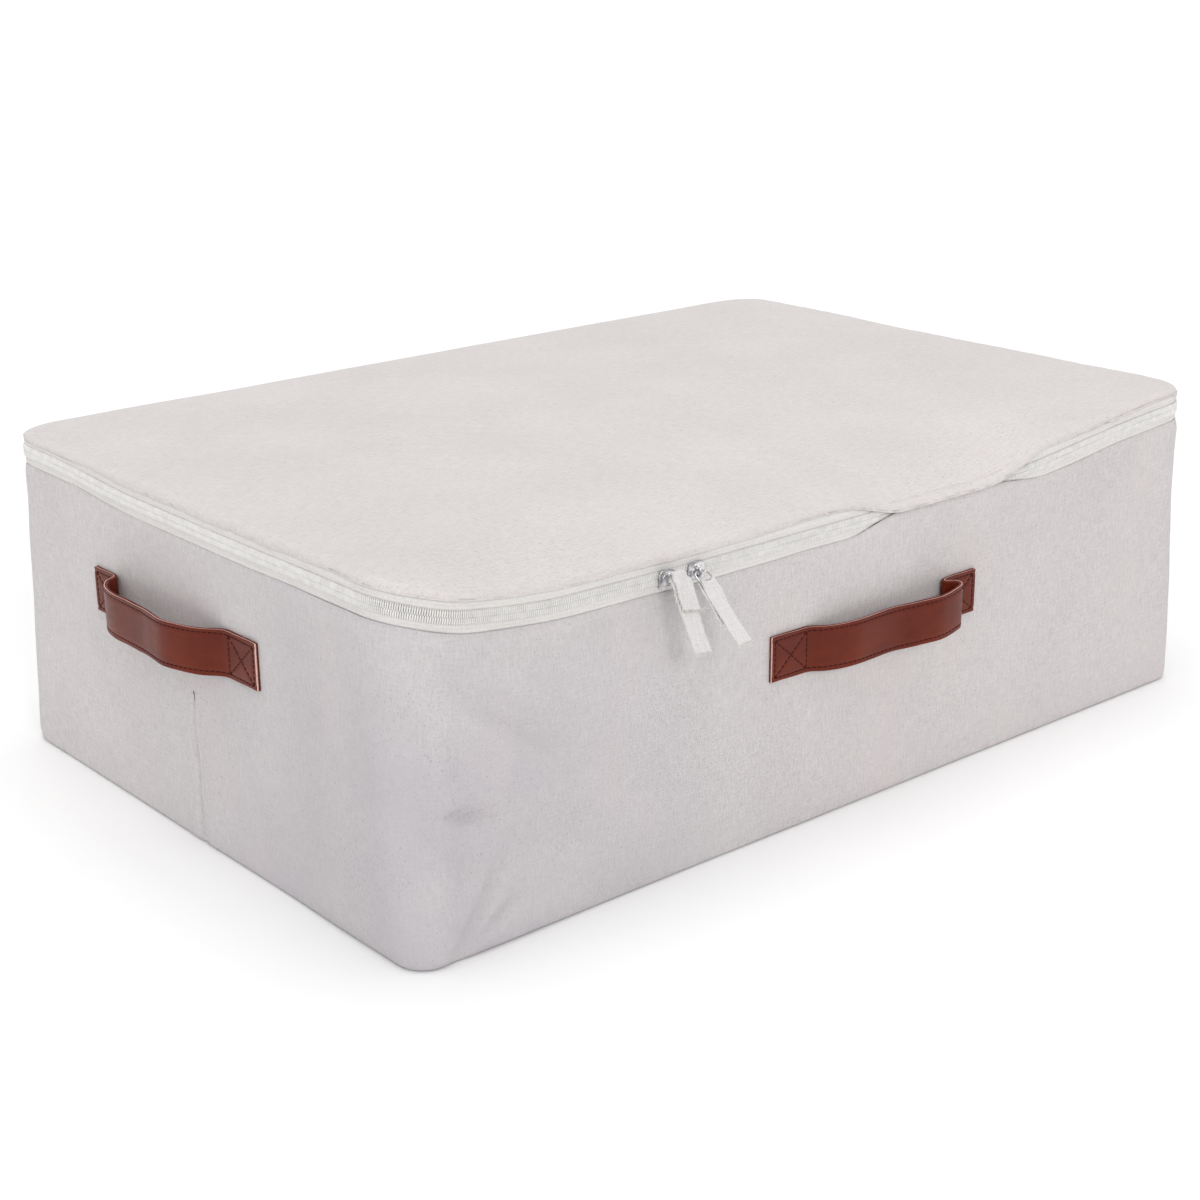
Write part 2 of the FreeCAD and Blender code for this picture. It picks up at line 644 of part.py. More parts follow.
def slider(label, centre):
    """Two plates round the coil, joined by a post that runs between its halves."""
    outer_face = "<coil_stand> + <slider_clear>"
    inner_face = "<tape_inset> + <tape> + <slider_clear>"

    def block(name, length, low_out, high_out, low_z, high_z):
        """Box between two distances outside the wall and two heights on the zipper."""
        box = doc.addObject("Part::Box", f"{label}_{name}")
        box.setExpression("Length", expr(length))
        box.setExpression("Width", expr(f"({high_out}) - ({low_out})"))
        box.setExpression("Height", expr(f"({high_z}) - ({low_z})"))
        box.setExpression("Placement.Base.x", expr(f"{centre} - ({length}) / 2"))
        box.setExpression("Placement.Base.y", expr(f"-<box_depth> / 2 - ({high_out})"))
        box.setExpression("Placement.Base.z", expr(f"<zip_front> + ({low_z})"))
        return box

    half = "<slider_width> / 2"
    outer = f"{outer_face} + <slider_plate>"
    inner = f"-({inner_face}) - <slider_plate>"
    pieces = [
        block("outer_plate", "<slider_length>", outer_face, outer, f"-{half}", half),
        block("inner_plate", "<slider_length>", inner, f"-({inner_face})",
              f"-{half}", half),
        block("post", "<slider_length> / 3", f"-({inner_face})", outer_face,
              "-<zip_gap> + <post_clear>", "<zip_gap> - <post_clear>"),
        block("flange", "<slider_length>", "-<tape_inset> + <slider_clear>", outer_face,
              f"-{half}", f"-{half} + <flange>"),
    ]
    bail = doc.addObject("Part::Torus", f"{label}_bail")
    bail.setExpression("Radius1", expr("<bail_radius>"))
    bail.setExpression("Radius2", expr("<bail_wire>"))
    bail.Placement = Placement(Vector(0, 0, 0), Rotation(Vector(0, 1, 0), 90))
    bail.setExpression("Placement.Base.x", expr(centre))
    bail.setExpression("Placement.Base.y", expr(f"-<box_depth> / 2 - ({outer})"))
    bail.setExpression("Placement.Base.z", expr("<zip_front>"))
    keep = block("bail_side", "<bail_room>", outer, f"{outer} + <bail_room>",
                 "-<bail_room>", "<bail_room>")
    arch = doc.addObject("Part::Common", f"{label}_arch")
    arch.Base = bail
    arch.Tool = keep
    fused = doc.addObject("Part::MultiFuse", label)
    fused.Label = label
    fused.Shapes = pieces + [arch]
    doc.recompute()


def pull_ring(side, centre, tilt):
    """Wire ring held by the bail and lifted by the tilt."""
    hold_y = "-<box_depth> / 2 - <ring_out>"
    hold_z = "<zip_front> + <ring_rise>"
    ring = doc.addObject("Part::Torus", f"{side}_pull_ring")
    ring.Label = f"{side}_pull_ring"
    ring.setExpression("Radius1", expr("<ring_radius>"))
    ring.setExpression("Radius2", expr("<ring_wire>"))
    ring.Placement = Placement(Vector(0, 0, 0), Rotation(Vector(1, 0, 0), 90))
    ring.setExpression("Placement.Rotation.Angle", expr(f"90 - {tilt}"))
    ring.setExpression("Placement.Base.x", expr(centre))
    ring.setExpression("Placement.Base.y", expr(
        f"{hold_y} - <ring_radius> * sin({tilt})"))
    ring.setExpression("Placement.Base.z", expr(
        f"{hold_z} - <ring_radius> * cos({tilt})"))
    far_y = f"{hold_y} - 2 * <ring_radius> * sin({tilt})"
    far_z = f"{hold_z} - 2 * <ring_radius> * cos({tilt})"
    return far_y, far_z


def pull_ribbon(side, length, swing, x, y, z):
    """Ribbon on a loop round the far side of the ring, standing out from the wall."""
    label = f"{side}_pull_ribbon"
    loop = doc.addObject("Part::Cylinder", f"{label}_loop")
    hole = doc.addObject("Part::Cylinder", f"{label}_hole")
    for tube, radius in ((loop, "<loop_hole> + <loop_wall>"), (hole, "<loop_hole>")):
        tube.setExpression("Radius", expr(radius))
        tube.setExpression("Height", expr("2 * <neck_half>"))
        tube.Placement = Placement(Vector(0, 0, 0), Rotation(Vector(0, 1, 0), 90))
        tube.setExpression("Placement.Base.x", expr("-<neck_half>"))
        tube.setExpression("Placement.Base.z", expr("-<loop_drop>"))
    neck = doc.addObject("Part::Box", f"{label}_neck")
    neck.setExpression("Length", expr("2 * <neck_half>"))
    neck.setExpression("Width", expr("<ribbon_thick>"))
    neck.setExpression("Height", expr("<neck_length>"))
    neck.setExpression("Placement.Base.x", expr("-<neck_half>"))
    neck.setExpression("Placement.Base.y", expr("-<ribbon_thick> / 2"))
    neck.setExpression("Placement.Base.z", expr("-<neck_length> - <neck_sink>"))
    flat = doc.addObject("Part::Box", f"{label}_flat")
    flat.setExpression("Length", expr("<ribbon_width>"))
    flat.setExpression("Width", expr("<ribbon_thick>"))
    flat.setExpression("Height", expr(length))
    flat.setExpression("Placement.Base.x", expr("-<ribbon_width> / 2"))
    flat.setExpression("Placement.Base.y", expr("-<ribbon_thick> / 2"))
    flat.setExpression("Placement.Base.z", expr(f"-<neck_length> - {length}"))
    strip = doc.addObject("Part::MultiFuse", f"{label}_strip")
    strip.Shapes = [flat, neck]
    strip.Placement = Placement(Vector(0, 0, 0), Rotation(Vector(-1, 0, 0), 45))
    strip.setExpression("Placement.Rotation.Angle", expr(swing))
    body = doc.addObject("Part::MultiFuse", f"{label}_body")
    body.Shapes = [loop, strip]
    ribbon = doc.addObject("Part::Cut", label)
    ribbon.Label = label
    ribbon.Base = body
    ribbon.Tool = hole
    ribbon.setExpression("Placement.Base.x", expr(x))
    ribbon.setExpression("Placement.Base.y", expr(y))
    ribbon.setExpression("Placement.Base.z", expr(z))
    doc.recompute()


def make_sliders():
    for side in ("left", "right"):
        centre = f"<{side}_slider_x>"
        slider(f"{side}_slider", centre)
        far_y, far_z = pull_ring(side, centre, f"<{side}_tilt>")
        pull_ribbon(side, f"<{side}_ribbon>", f"<{side}_swing>", centre, far_y, far_z)


# -------------------------------------------------------------------- export

def hand_over():
    """Check every object, then write one file for each sub-part."""
    doc.recompute()
    for item in doc.Objects:
        faults = {"Invalid", "Error"} & set(item.State)
        if faults:
            raise RuntimeError(f"{item.Label}: {sorted(faults)}")
    nested = set()
    for item in doc.Objects:
        if item.TypeId.startswith("Part::"):
            nested.update(child.Name for child in item.OutList)
    pieces = [item for item in doc.Objects
              if item.TypeId == "PartDesign::Body"
              or (item.TypeId.startswith("Part::") and item.Name not in nested)]
    for piece in pieces:
        shape = piece.Shape
        if shape.isNull() or not shape.isValid() or not shape.Solids:
            raise RuntimeError(f"{piece.Label}: no valid solid")
    for piece in pieces:
        piece.Shape.exportStep(f"parts/{piece.Label}.step")
        box = piece.Shape.BoundBox
        print(f"{piece.Label}: {len(piece.Shape.Solids)} solid, "
              f"{piece.Shape.Volume:.0f} mm3, z {box.ZMin:.1f} to {box.ZMax:.1f}")
    print(f"{len(pieces)} sub-parts")


make_box()
make_zipper()
make_hinge()
make_lid()
make_handles()
make_side_seams()
make_sliders()
hand_over()
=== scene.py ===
import json
import math

import bmesh
import bpy
import numpy as np
from mathutils import Matrix, Vector, noise


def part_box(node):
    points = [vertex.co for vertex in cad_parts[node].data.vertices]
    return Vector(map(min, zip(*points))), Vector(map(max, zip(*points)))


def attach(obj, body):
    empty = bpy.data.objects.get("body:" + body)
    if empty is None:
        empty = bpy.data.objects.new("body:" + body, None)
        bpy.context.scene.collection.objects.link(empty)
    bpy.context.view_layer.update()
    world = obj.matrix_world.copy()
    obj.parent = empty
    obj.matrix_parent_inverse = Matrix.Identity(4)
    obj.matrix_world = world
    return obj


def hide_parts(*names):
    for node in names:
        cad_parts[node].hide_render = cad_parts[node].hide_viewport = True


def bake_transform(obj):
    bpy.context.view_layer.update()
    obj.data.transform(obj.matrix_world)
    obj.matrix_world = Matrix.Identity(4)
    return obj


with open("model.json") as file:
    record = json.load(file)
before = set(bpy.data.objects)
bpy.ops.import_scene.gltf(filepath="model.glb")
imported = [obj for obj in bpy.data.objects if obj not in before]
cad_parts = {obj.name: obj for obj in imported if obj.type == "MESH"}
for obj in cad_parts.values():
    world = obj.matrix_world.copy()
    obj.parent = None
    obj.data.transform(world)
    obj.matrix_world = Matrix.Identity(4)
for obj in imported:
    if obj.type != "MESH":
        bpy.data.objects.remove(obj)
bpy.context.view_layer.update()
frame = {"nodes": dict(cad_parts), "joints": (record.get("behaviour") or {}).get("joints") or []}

MM = 0.001

# ------------------------------------------------------- places from the frame

WALL_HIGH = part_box("wall_fabric")[1]
BOARD_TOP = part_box("front_board")[1].z
COIL_LOW, COIL_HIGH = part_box("lower_zipper_coil")
LINING_LOW, LINING_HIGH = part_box("wall_lining")
BASE_LOW, BASE_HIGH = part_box("base_board")
SEAM_LOW, SEAM_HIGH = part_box("side_seam_stitching")
JOINTS = {joint["name"]: joint for joint in frame["joints"]}

HALF_X = WALL_HIGH.x
HALF_Y = WALL_HIGH.y
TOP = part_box("lid_fabric")[1].z
ZIP_SIDE = COIL_HIGH.z + 0.8 * MM
ZIP_FRONT = COIL_LOW.z + 4.0 * MM
ZIP_END = COIL_HIGH.y
LINING_INSET = HALF_X - LINING_HIGH.x

BOTTOM_RADIUS = 15 * MM
TOP_RADIUS = 38 * MM
TAPER_HEIGHT = 150 * MM

# the front dip: most of it round the near corner, the rest further on, then the way up
DIP_CORNER = (0 * MM, 138 * MM)
DIP_FURTHER = (-215 * MM, -100 * MM)
DIP_RIGHT = (90 * MM, 290 * MM)
CORNER_SHARE = 0.91
LEFT_RISE = 0.7 * MM
BACK_RISE = 4 * MM
BACK_RISING = (40 * MM, 150 * MM)
BACK_FALLING = (175 * MM, 198 * MM)
# zipper line to the edges of the canvas, and the stretch where the canvas hides it
LID_EDGE = 7.8 * MM
WALL_EDGE = 8.0 * MM
COVERED_EDGE = 0.45 * MM
LID_OVERLAP = 0.8 * MM
COVERED = (-10 * MM, 35 * MM, 105 * MM, 160 * MM)
COVERED_TUCK = 2.4 * MM
CANVAS = 0.9 * MM

CELL = 3 * MM
CORNER_CELLS = 12

# power of each corner's curve, from the front left round anticlockwise: 2 is an arc
CORNER_POWERS = (2.0, 3.3, 2.8, 2.6)


def run_along(line):
    """Distance from the first point of a line to each of its points."""
    return np.concatenate([[0], np.cumsum(np.linalg.norm(np.diff(line, axis=0), axis=1))])


def at_length(length, values, at):
    """Rows of values, given at lengths along a line, at other lengths along it."""
    return np.stack([np.interp(at, length, column) for column in np.transpose(values)], -1)


def smooth(value, start, end):
    """0 before start, 1 after end, and an S between."""
    share = np.clip((value - start) / (end - start), 0, 1)
    return share * share * (3 - 2 * share)


def bump(value, centre, width):
    """Bell of height 1."""
    return np.exp(-((value - centre) / width) ** 2)


# ------------------------------------------------------------- plan of the box

CELLS_X = round(2 * (HALF_X - TOP_RADIUS) / CELL)
CELLS_Y = round(2 * (HALF_Y - TOP_RADIUS) / CELL)


def plan_ring(inset, radius):
    """Points and outward directions round the box, anticlockwise from the front left
    corner. radius is the outside corner's."""
    hx = HALF_X - inset
    hy = HALF_Y - inset
    r = max(radius - inset, 0.5 * MM)
    points = []
    normals = []
    for quarter in range(4):
        half, far = (hx, hy) if quarter % 2 == 0 else (hy, hx)
        cells = CELLS_X if quarter % 2 == 0 else CELLS_Y
        flat_half = HALF_X if quarter % 2 == 0 else HALF_Y
        powers = (CORNER_POWERS[quarter], CORNER_POWERS[(quarter + 1) % 4])
        along, inward, turn = side_columns(flat_half, half, r, cells, powers)
        local = np.stack([along, -(far - inward)], 1)[:-1]
        out = np.stack([np.sin(turn), -np.cos(turn)], 1)[:-1]
        a = quarter * math.pi / 2
        spin = np.array([[math.cos(a), math.sin(a)], [-math.sin(a), math.cos(a)]])
        points.append(local @ spin)
        normals.append(out @ spin)
    return np.concatenate(points), np.concatenate(normals)


def side_columns(outer_half, half, radius, cells, powers):
    """Along-side and inward distances, and turn, of the columns of one side.

    The middle columns stand at fixed places, and the last ones share the way from
    there to the middle of each corner's curve. powers are those of its two corners."""
    flat = outer_half - TOP_RADIUS
    if half - radius < flat - 1e-9:
        radius = max(half - flat, 0.3 * MM)
    along = np.linspace(-flat, flat, cells + 1)
    share = np.linspace(0, 1, CORNER_CELLS + 1)[1:]
    run = half - radius - flat
    way = share * (run + radius * math.pi / 4)
    angle = np.maximum(way - run, 0) / radius
    ends = []
    for power in powers:
        sine, cosine = np.sin(angle), np.cos(angle)
        stretch = (sine ** power + cosine ** power) ** (-1 / power)
        reach = np.where(way <= run, flat + way, half - radius + radius * stretch * sine)
        sunk = radius * (1 - stretch * cosine)
        turn = np.arctan2(sine ** (power - 1), cosine ** (power - 1))
        ends.append((reach, sunk, turn))
    (first_reach, first_sunk, first_turn), (last_reach, last_sunk, last_turn) = ends
    zeros = np.zeros(cells + 1)
    return (np.concatenate([-first_reach[::-1], along, last_reach]),
            np.concatenate([first_sunk[::-1], zeros, last_sunk]),
            np.concatenate([-first_turn[::-1], zeros, last_turn]))


def corner_radius(height):
    """The corners are tight at the floor and rounder at the zipper."""
    share = np.clip(height / TAPER_HEIGHT, 0, 1)
    return BOTTOM_RADIUS + (TOP_RADIUS - BOTTOM_RADIUS) * share


def zip_dip(x, y):
    """Share of the front dip: 0 on the sides and 1 along the front's middle."""
    past_corner = x + HALF_X + TOP_RADIUS - (y + HALF_Y)
    share = (CORNER_SHARE * smooth(past_corner, *DIP_CORNER)
             + (1 - CORNER_SHARE) * smooth(x, *DIP_FURTHER))
    return share * (1 - smooth(x, *DIP_RIGHT)) * (y < 0)


def zip_height(x, y):
    """Height of the zipper: nearly level on the sides, dipping along the front."""
    on_side = np.abs(x) > HALF_X - TOP_RADIUS
    back = smooth(y, *BACK_RISING) * (1 - smooth(y, *BACK_FALLING)) * on_side
    left = smooth(-x, 0, 200 * MM) * smooth(-y, 40 * MM, 140 * MM)
    level = ZIP_SIDE + LEFT_RISE * left + BACK_RISE * back
    return level + (ZIP_FRONT - level) * zip_dip(x, y)


def covered(x, y):
    """1 along the stretch of the front where the canvas hides the zipper."""
    start, full, going, gone = COVERED
    return smooth(x, start, full) * (1 - smooth(x, going, gone)) * (y < 0)


def ripple(points, size, seed):
    """Smooth noise, about -1 to 1, along points of the plan."""
    return np.array([noise.noise(Vector((p[0], p[1], seed * size)) / size) for p in points])


GRID_X = CELLS_X + 2 * CORNER_CELLS
GRID_Y = CELLS_Y + 2 * CORNER_CELLS
RING, RING_OUT = plan_ring(0, TOP_RADIUS)
ZIP_Z = zip_height(RING[:, 0], RING[:, 1])
COLUMNS = len(RING)
OUTWARD = np.column_stack([RING_OUT, np.zeros(COLUMNS)])
RING_LENGTH = run_along(np.concatenate([RING, RING[:1]]))
COVER = covered(RING[:, 0], RING[:, 1])
LID_GAP = LID_EDGE + 1.5 * MM * ripple(RING, 45 * MM, 3)
LID_GAP = LID_GAP + (-LID_OVERLAP - LID_GAP) * COVER
WALL_GAP = WALL_EDGE + 0.9 * MM * ripple(RING, 42 * MM, 5)
WALL_GAP = WALL_GAP + (COVERED_EDGE - WALL_GAP) * COVER
WALL_HEM = ZIP_Z - WALL_GAP


# ------------------------------------------------------------------ mesh tools

def link(data, name):
    """Object in the scene for a mesh, a light or a camera."""
    obj = bpy.data.objects.new(name, data)
    bpy.context.scene.collection.objects.link(obj)
    return obj


def set_uv(mesh, uv, wrap):
    """Coordinates on the cloth for each point. wrap is the length round a closed ring,
    where the first column also ends the last face."""
    layer = mesh.uv_layers.new(name="cloth")
    corners = np.zeros(len(mesh.loops), int)
    mesh.loops.foreach_get("vertex_index", corners)
    values = np.asarray(uv, float)[corners]
    if wrap:
        starts = np.zeros(len(mesh.polygons), int)
        mesh.polygons.foreach_get("loop_start", starts)
        u = values[:, 0]
        highest = np.maximum.reduceat(u, starts)
        sizes = np.diff(np.append(starts, len(u)))
        u[u < np.repeat(highest, sizes) - wrap / 2] += wrap
    layer.data.foreach_set("uv", values.ravel())


def mesh_object(name, points, faces, material, uv=None, wrap=0.0):
    """Mesh from points, faces and, where given, a uv for each point, in metres."""
    mesh = bpy.data.meshes.new(name)
    mesh.from_pydata([tuple(p) for p in points], [], [tuple(f) for f in faces])
    mesh.materials.append(material)
    if uv is not None:
        set_uv(mesh, uv, wrap)
    mesh.polygons.foreach_set("use_smooth", [True] * len(mesh.polygons))
    mesh.update()
    return link(mesh, name)


def points_of(obj):
    return np.array([v.co for v in obj.data.vertices])


def set_points(obj, points):
    obj.data.vertices.foreach_set("co", points.ravel())
    obj.data.update()


def grid_faces(rows, columns, closed, first=0):
    """Quads of a grid stored row after row."""
    row, column = np.meshgrid(
        np.arange(rows - 1), np.arange(columns if closed else columns - 1), indexing="ij")
    a = first + row * columns + column
    b = first + row * columns + (column + 1) % columns
    return np.stack([a, b, b + columns, a + columns], -1).reshape(-1, 4)


def thicken(obj, thickness, offset=-1.0):
    """Give a sheet its thickness; offset -1 keeps the outer face where it is."""
    solid = obj.modifiers.new("thickness", "SOLIDIFY")
    solid.thickness = thickness
    solid.offset = offset
    return obj


def ring_sheet(name, rows, material):
    """Sheet round the box from rows of (points xy, heights, uv height)."""
    points = np.concatenate([np.column_stack([xy, z]) for xy, z, _ in rows])
    uv = np.concatenate([np.column_stack([RING_LENGTH[:-1], np.full(COLUMNS, v)])
                         for _, _, v in rows])
    faces = grid_faces(len(rows), COLUMNS, True)
    return mesh_object(name, points, faces, material, uv, RING_LENGTH[-1])


def outward(obj):
    """Turn every face of a closed piece to the outside."""
    work = bmesh.new()
    work.from_mesh(obj.data)
    bmesh.ops.recalc_face_normals(work, faces=work.faces)
    work.to_mesh(obj.data)
    work.free()
    return obj


def final_mesh(obj):
    """Mesh of a piece with its modifiers applied."""
    seen = bpy.context.evaluated_depsgraph_get()
    return bpy.data.meshes.new_from_object(obj.evaluated_get(seen))


def capped_faces(stations, sides):
    """Faces of a bar made of rings of points, with both ends closed."""
    ring = np.arange(sides)
    return [*grid_faces(stations, sides, True), ring[::-1], (stations - 1) * sides + ring]


def tube(name, path, radius, material, sides=8, closed=False):
    """Round wire along points."""
    path = np.asarray(path, float)
    count = len(path)
    ahead = np.roll(path, -1, 0) - np.roll(path, 1, 0)
    if not closed:
        ahead[0] = path[1] - path[0]
        ahead[-1] = path[-1] - path[-2]
    ahead /= np.linalg.norm(ahead, axis=1)[:, None]
    reference = np.array([0.0, 0.0, 1.0])
    if abs(ahead[0] @ reference) > 0.9:
        reference = np.array([0.0, 1.0, 0.0])
    points = []
    for place, direction in zip(path, ahead):
        side = np.cross(direction, reference)
        side /= np.linalg.norm(side)
        reference = np.cross(side, direction)
        angle = np.arange(sides) * 2 * math.pi / sides
        circle = np.outer(np.cos(angle), side) + np.outer(np.sin(angle), reference)
        points.append(place + radius * circle)
    if closed:
        points.append(points[0])
        points = np.concatenate(points)[:-sides]
        faces = grid_faces(count + 1, sides, True) % len(points)
    else:
        points = np.concatenate(points)
        faces = capped_faces(count, sides)
    return outward(mesh_object(name, points, faces, material))


def scatter(name, template, faces, places, material):
    """One mesh of many copies of a template. places are 3 by 4 matrices."""
    template = np.asarray(template, float)
    count = len(template)
    points = []
    all_faces = []
    for number, place in enumerate(places):
        points.append(template @ place[:, :3].T + place[:, 3])
        all_faces += [face + number * count for face in faces]
    return outward(mesh_object(name, np.concatenate(points), all_faces, material))


def pill(length, width, height, sides):
    """Template of a stitch: a rounded bar along x that rises towards z."""
    stations = [(-0.5, 0.35), (-0.36, 0.85), (0, 1.0), (0.36, 0.85), (0.5, 0.35)]
    points = []
    for along, scale in stations:
        for k in range(sides):
            a = 2 * math.pi * k / sides
            points.append((along * length, math.cos(a) * width / 2 * scale,
                           math.sin(a) * height / 2 * scale))
    return points, capped_faces(len(stations), sides)


def sew(name, size, places, thread, sides=6):
    """One mesh of stitches of a size (length, width, height) in mm."""
    template, faces = pill(*(measure * MM for measure in size), sides)
    return scatter(name, template, faces, places, thread)


def stitch_places(path, normal, pitch):
    """Places of stitches along points of a line, with the cloth's outward direction at
    each point."""
    length = run_along(path)
    count = max(int(round(length[-1] / pitch)), 1)
    places = []
    for number in range(count):
        at = (number + 0.5) * length[-1] / count
        ahead = at_length(length, path, at + pitch / 4) - at_length(length, path, at - pitch / 4)
        ahead /= np.linalg.norm(ahead)
        out = at_length(length, normal, at)
        out -= ahead * (out @ ahead)
        out /= np.linalg.norm(out)
        side = np.cross(out, ahead)
        places.append(np.column_stack([ahead, side, out, at_length(length, path, at)]))
    return places


# ------------------------------------------------------------------- materials

class Paint:
    """Short way to write one material's nodes."""

    def __init__(self, name, **sockets):
        self.material = bpy.data.materials.new(name)
        self.material.use_nodes = True
        self.tree = self.material.node_tree
        self.shader = self.tree.nodes["Principled BSDF"]
        for socket, value in sockets.items():
            self.shader.inputs[socket.replace("_", " ")].default_value = value

    def node(self, kind, inputs=(), **settings):
        made = self.tree.nodes.new(kind)
        for key, value in settings.items():
            setattr(made, key, value)
        for key, value in dict(inputs).items():
            if isinstance(value, bpy.types.NodeSocket):
                self.tree.links.new(value, made.inputs[key])
            else:
                made.inputs[key].default_value = value
        return made

    def cloth(self):
        """The cloth's own coordinates, in metres."""
        return self.node("ShaderNodeUVMap", uv_map="cloth").outputs[0]

    def place(self):
        return self.node("ShaderNodeTexCoord").outputs["Object"]

    def parts(self, vector):
        return self.node("ShaderNodeSeparateXYZ", {0: vector}).outputs

    def scaled(self, vector, x, y, z=1.0):
        return self.node("ShaderNodeVectorMath", {0: vector, 1: (x, y, z)},
                         operation="MULTIPLY").outputs[0]

    def noise(self, vector, scale, detail=2.0, roughness=0.5):
        """Noise; scale is one number, or one for each direction."""
        if isinstance(scale, tuple):
            vector = self.scaled(vector, *scale)
            scale = 1.0
        return self.node("ShaderNodeTexNoise", {
            "Vector": vector, "Scale": scale, "Detail": detail,
            "Roughness": roughness}).outputs["Fac"]

    def spread(self, value, low, high, to_low=0.0, to_high=1.0):
        return self.node("ShaderNodeMapRange", {
            0: value, 1: low, 2: high, 3: to_low, 4: to_high}).outputs[0]

    def math(self, operation, a, b=0.0):
        return self.node("ShaderNodeMath", {0: a, 1: b}, operation=operation).outputs[0]

    def total(self, *terms):
        """Sum of (value, weight)."""
        parts = [value if weight == 1 else self.math("MULTIPLY", value, weight)
                 for value, weight in terms]
        result = parts[0]
        for part in parts[1:]:
            result = self.math("ADD", result, part)
        return result

    def two_tones(self, value, shade, light, low=0.3, high=0.7):
        self.colour(self.blend(self.spread(value, low, high), shade, light))

    def blend(self, share, one, other):
        return self.node("ShaderNodeMix", {0: share, 6: one, 7: other},
                         data_type="RGBA").outputs[2]

    def colour(self, value):
        self.tree.links.new(value, self.shader.inputs["Base Color"])

    def rough(self, value):
        self.tree.links.new(value, self.shader.inputs["Roughness"])

    def bump(self, height, distance, strength):
        inputs = {"Height": height, "Distance": distance, "Strength": strength}
        out = self.node("ShaderNodeBump", inputs).outputs[0]
        self.tree.links.new(out, self.shader.inputs["Normal"])

    def weave(self, vector, pitch):
        """Height of a plain weave with threads of that pitch."""
        turns = self.scaled(vector, math.pi / pitch, math.pi / pitch)
        warp, weft = (self.math("SINE", part) for part in self.parts(turns)[:2])
        over = self.math("MULTIPLY", warp, weft)
        ribs = self.math("ADD", self.math("ABSOLUTE", warp), self.math("ABSOLUTE", weft))
        return self.total((over, 0.5), (ribs, 1))


def rgb(red, green, blue):
    """Colour from the 0 to 255 values that a screen shows."""
    def linear(value):
        value /= 255
        return value / 12.92 if value <= 0.04045 else ((value + 0.055) / 1.055) ** 2.4
    return (linear(red), linear(green), linear(blue), 1.0)


# size of the canvas's thread noise, in features a metre: across a thread and along it
THREADS = ((720, 120), (120, 720))


def canvas_material(name, light, shade, fleck, long_way, fleck_share=0.6, pitch=0.75 * MM,
                    painted_shade=None):
    """Off-white cloth woven from uneven threads, with slubs along one direction.

    long_way is 0 where the slubs run along the cloth's first coordinate, or 1. The last
    argument is a painted shade: the colour the cloth darkens to towards the floor and the near
    corner."""
    paint = Paint(name, Roughness=0.9, Specular_IOR_Level=0.2, Sheen_Weight=0.08,
                  Sheen_Roughness=0.5)
    cloth = paint.cloth()
    place = paint.place()
    along, across = THREADS if long_way else THREADS[::-1]
    streaks = paint.noise(cloth, along, 3.0, 0.65)
    cross = paint.noise(cloth, across, 3.0, 0.65)
    grain = paint.noise(cloth, (1250, 1250), 2.0, 0.6)
    cloudy = paint.noise(place, 11.0, 3.0, 0.6)
    tone = paint.total((streaks, 0.36), (cross, 0.24), (cloudy, 0.2), (grain, 0.34))
    base = paint.blend(paint.spread(tone, 0.4, 0.74), shade, light)
    if painted_shade is not None:
        # painted shade: darker and bluer towards the floor and most of all at the near corner, in
        # blotches, where less light reaches the wall
        x, y, z = paint.parts(place)
        low = paint.spread(z, 0.0, 0.16, 0.9, 0.45)
        corner = paint.math("ADD", x, y)
        near = paint.spread(corner, -0.5, -0.25, 1.0, 0.12)
        patch = paint.spread(paint.noise(place, 16.0), 0.35, 0.65, 0.7, 1.15)
        share = paint.math("MULTIPLY", paint.math("MULTIPLY", low, near), patch)
        base = paint.blend(share, base, painted_shade)
        # faint warm patches
        warm = paint.noise(place, (19, 19, 13))
        base = paint.blend(paint.spread(warm, 0.52, 0.7, 0.0, 0.3), base, WARM_PATCH)
    slubs = paint.noise(cloth, (1700, 480) if long_way else (300, 1700), 1.0)
    density = paint.noise(cloth, (14, 14))
    dark = paint.spread(paint.total((slubs, 1), (density, 0.18)), 0.71, 0.9, 0.0, fleck_share)
    paint.colour(paint.blend(dark, base, fleck))
    weave = paint.weave(cloth, pitch)
    paint.bump(paint.total((weave, 0.4), (streaks, 1), (grain, 0.6)), 0.16 * MM, 0.8)
    return paint.material


def ribbed_material(name, light, shade, pitch):
    """Narrow woven tape with a fine herringbone."""
    paint = Paint(name, Roughness=0.78, Sheen_Weight=0.15, Sheen_Roughness=0.5)
    cloth = paint.cloth()
    along, across, _ = paint.parts(cloth)
    slant = paint.math("ADD", along, paint.math("PINGPONG", across, pitch * 3))
    ribs = paint.math("SINE", paint.math("MULTIPLY", slant, 2 * math.pi / pitch))
    grain = paint.noise(cloth, (900, 500), 2.0, 0.6)
    paint.two_tones(paint.total((ribs, 0.08), (grain, 1)), shade, light, 0.25, 0.75)
    paint.bump(paint.total((ribs, 0.5), (grain, 1)), 0.1 * MM, 0.6)
    return paint.material


def thread_material(name, light, shade):
    """Twisted thread."""
    paint = Paint(name, Roughness=0.8, Specular_IOR_Level=0.12)
    twist = paint.noise(paint.place(), (2600, 2600, 2600), 1.0)
    paint.two_tones(twist, shade, light)
    paint.bump(twist, 0.05 * MM, 0.6)
    return paint.material


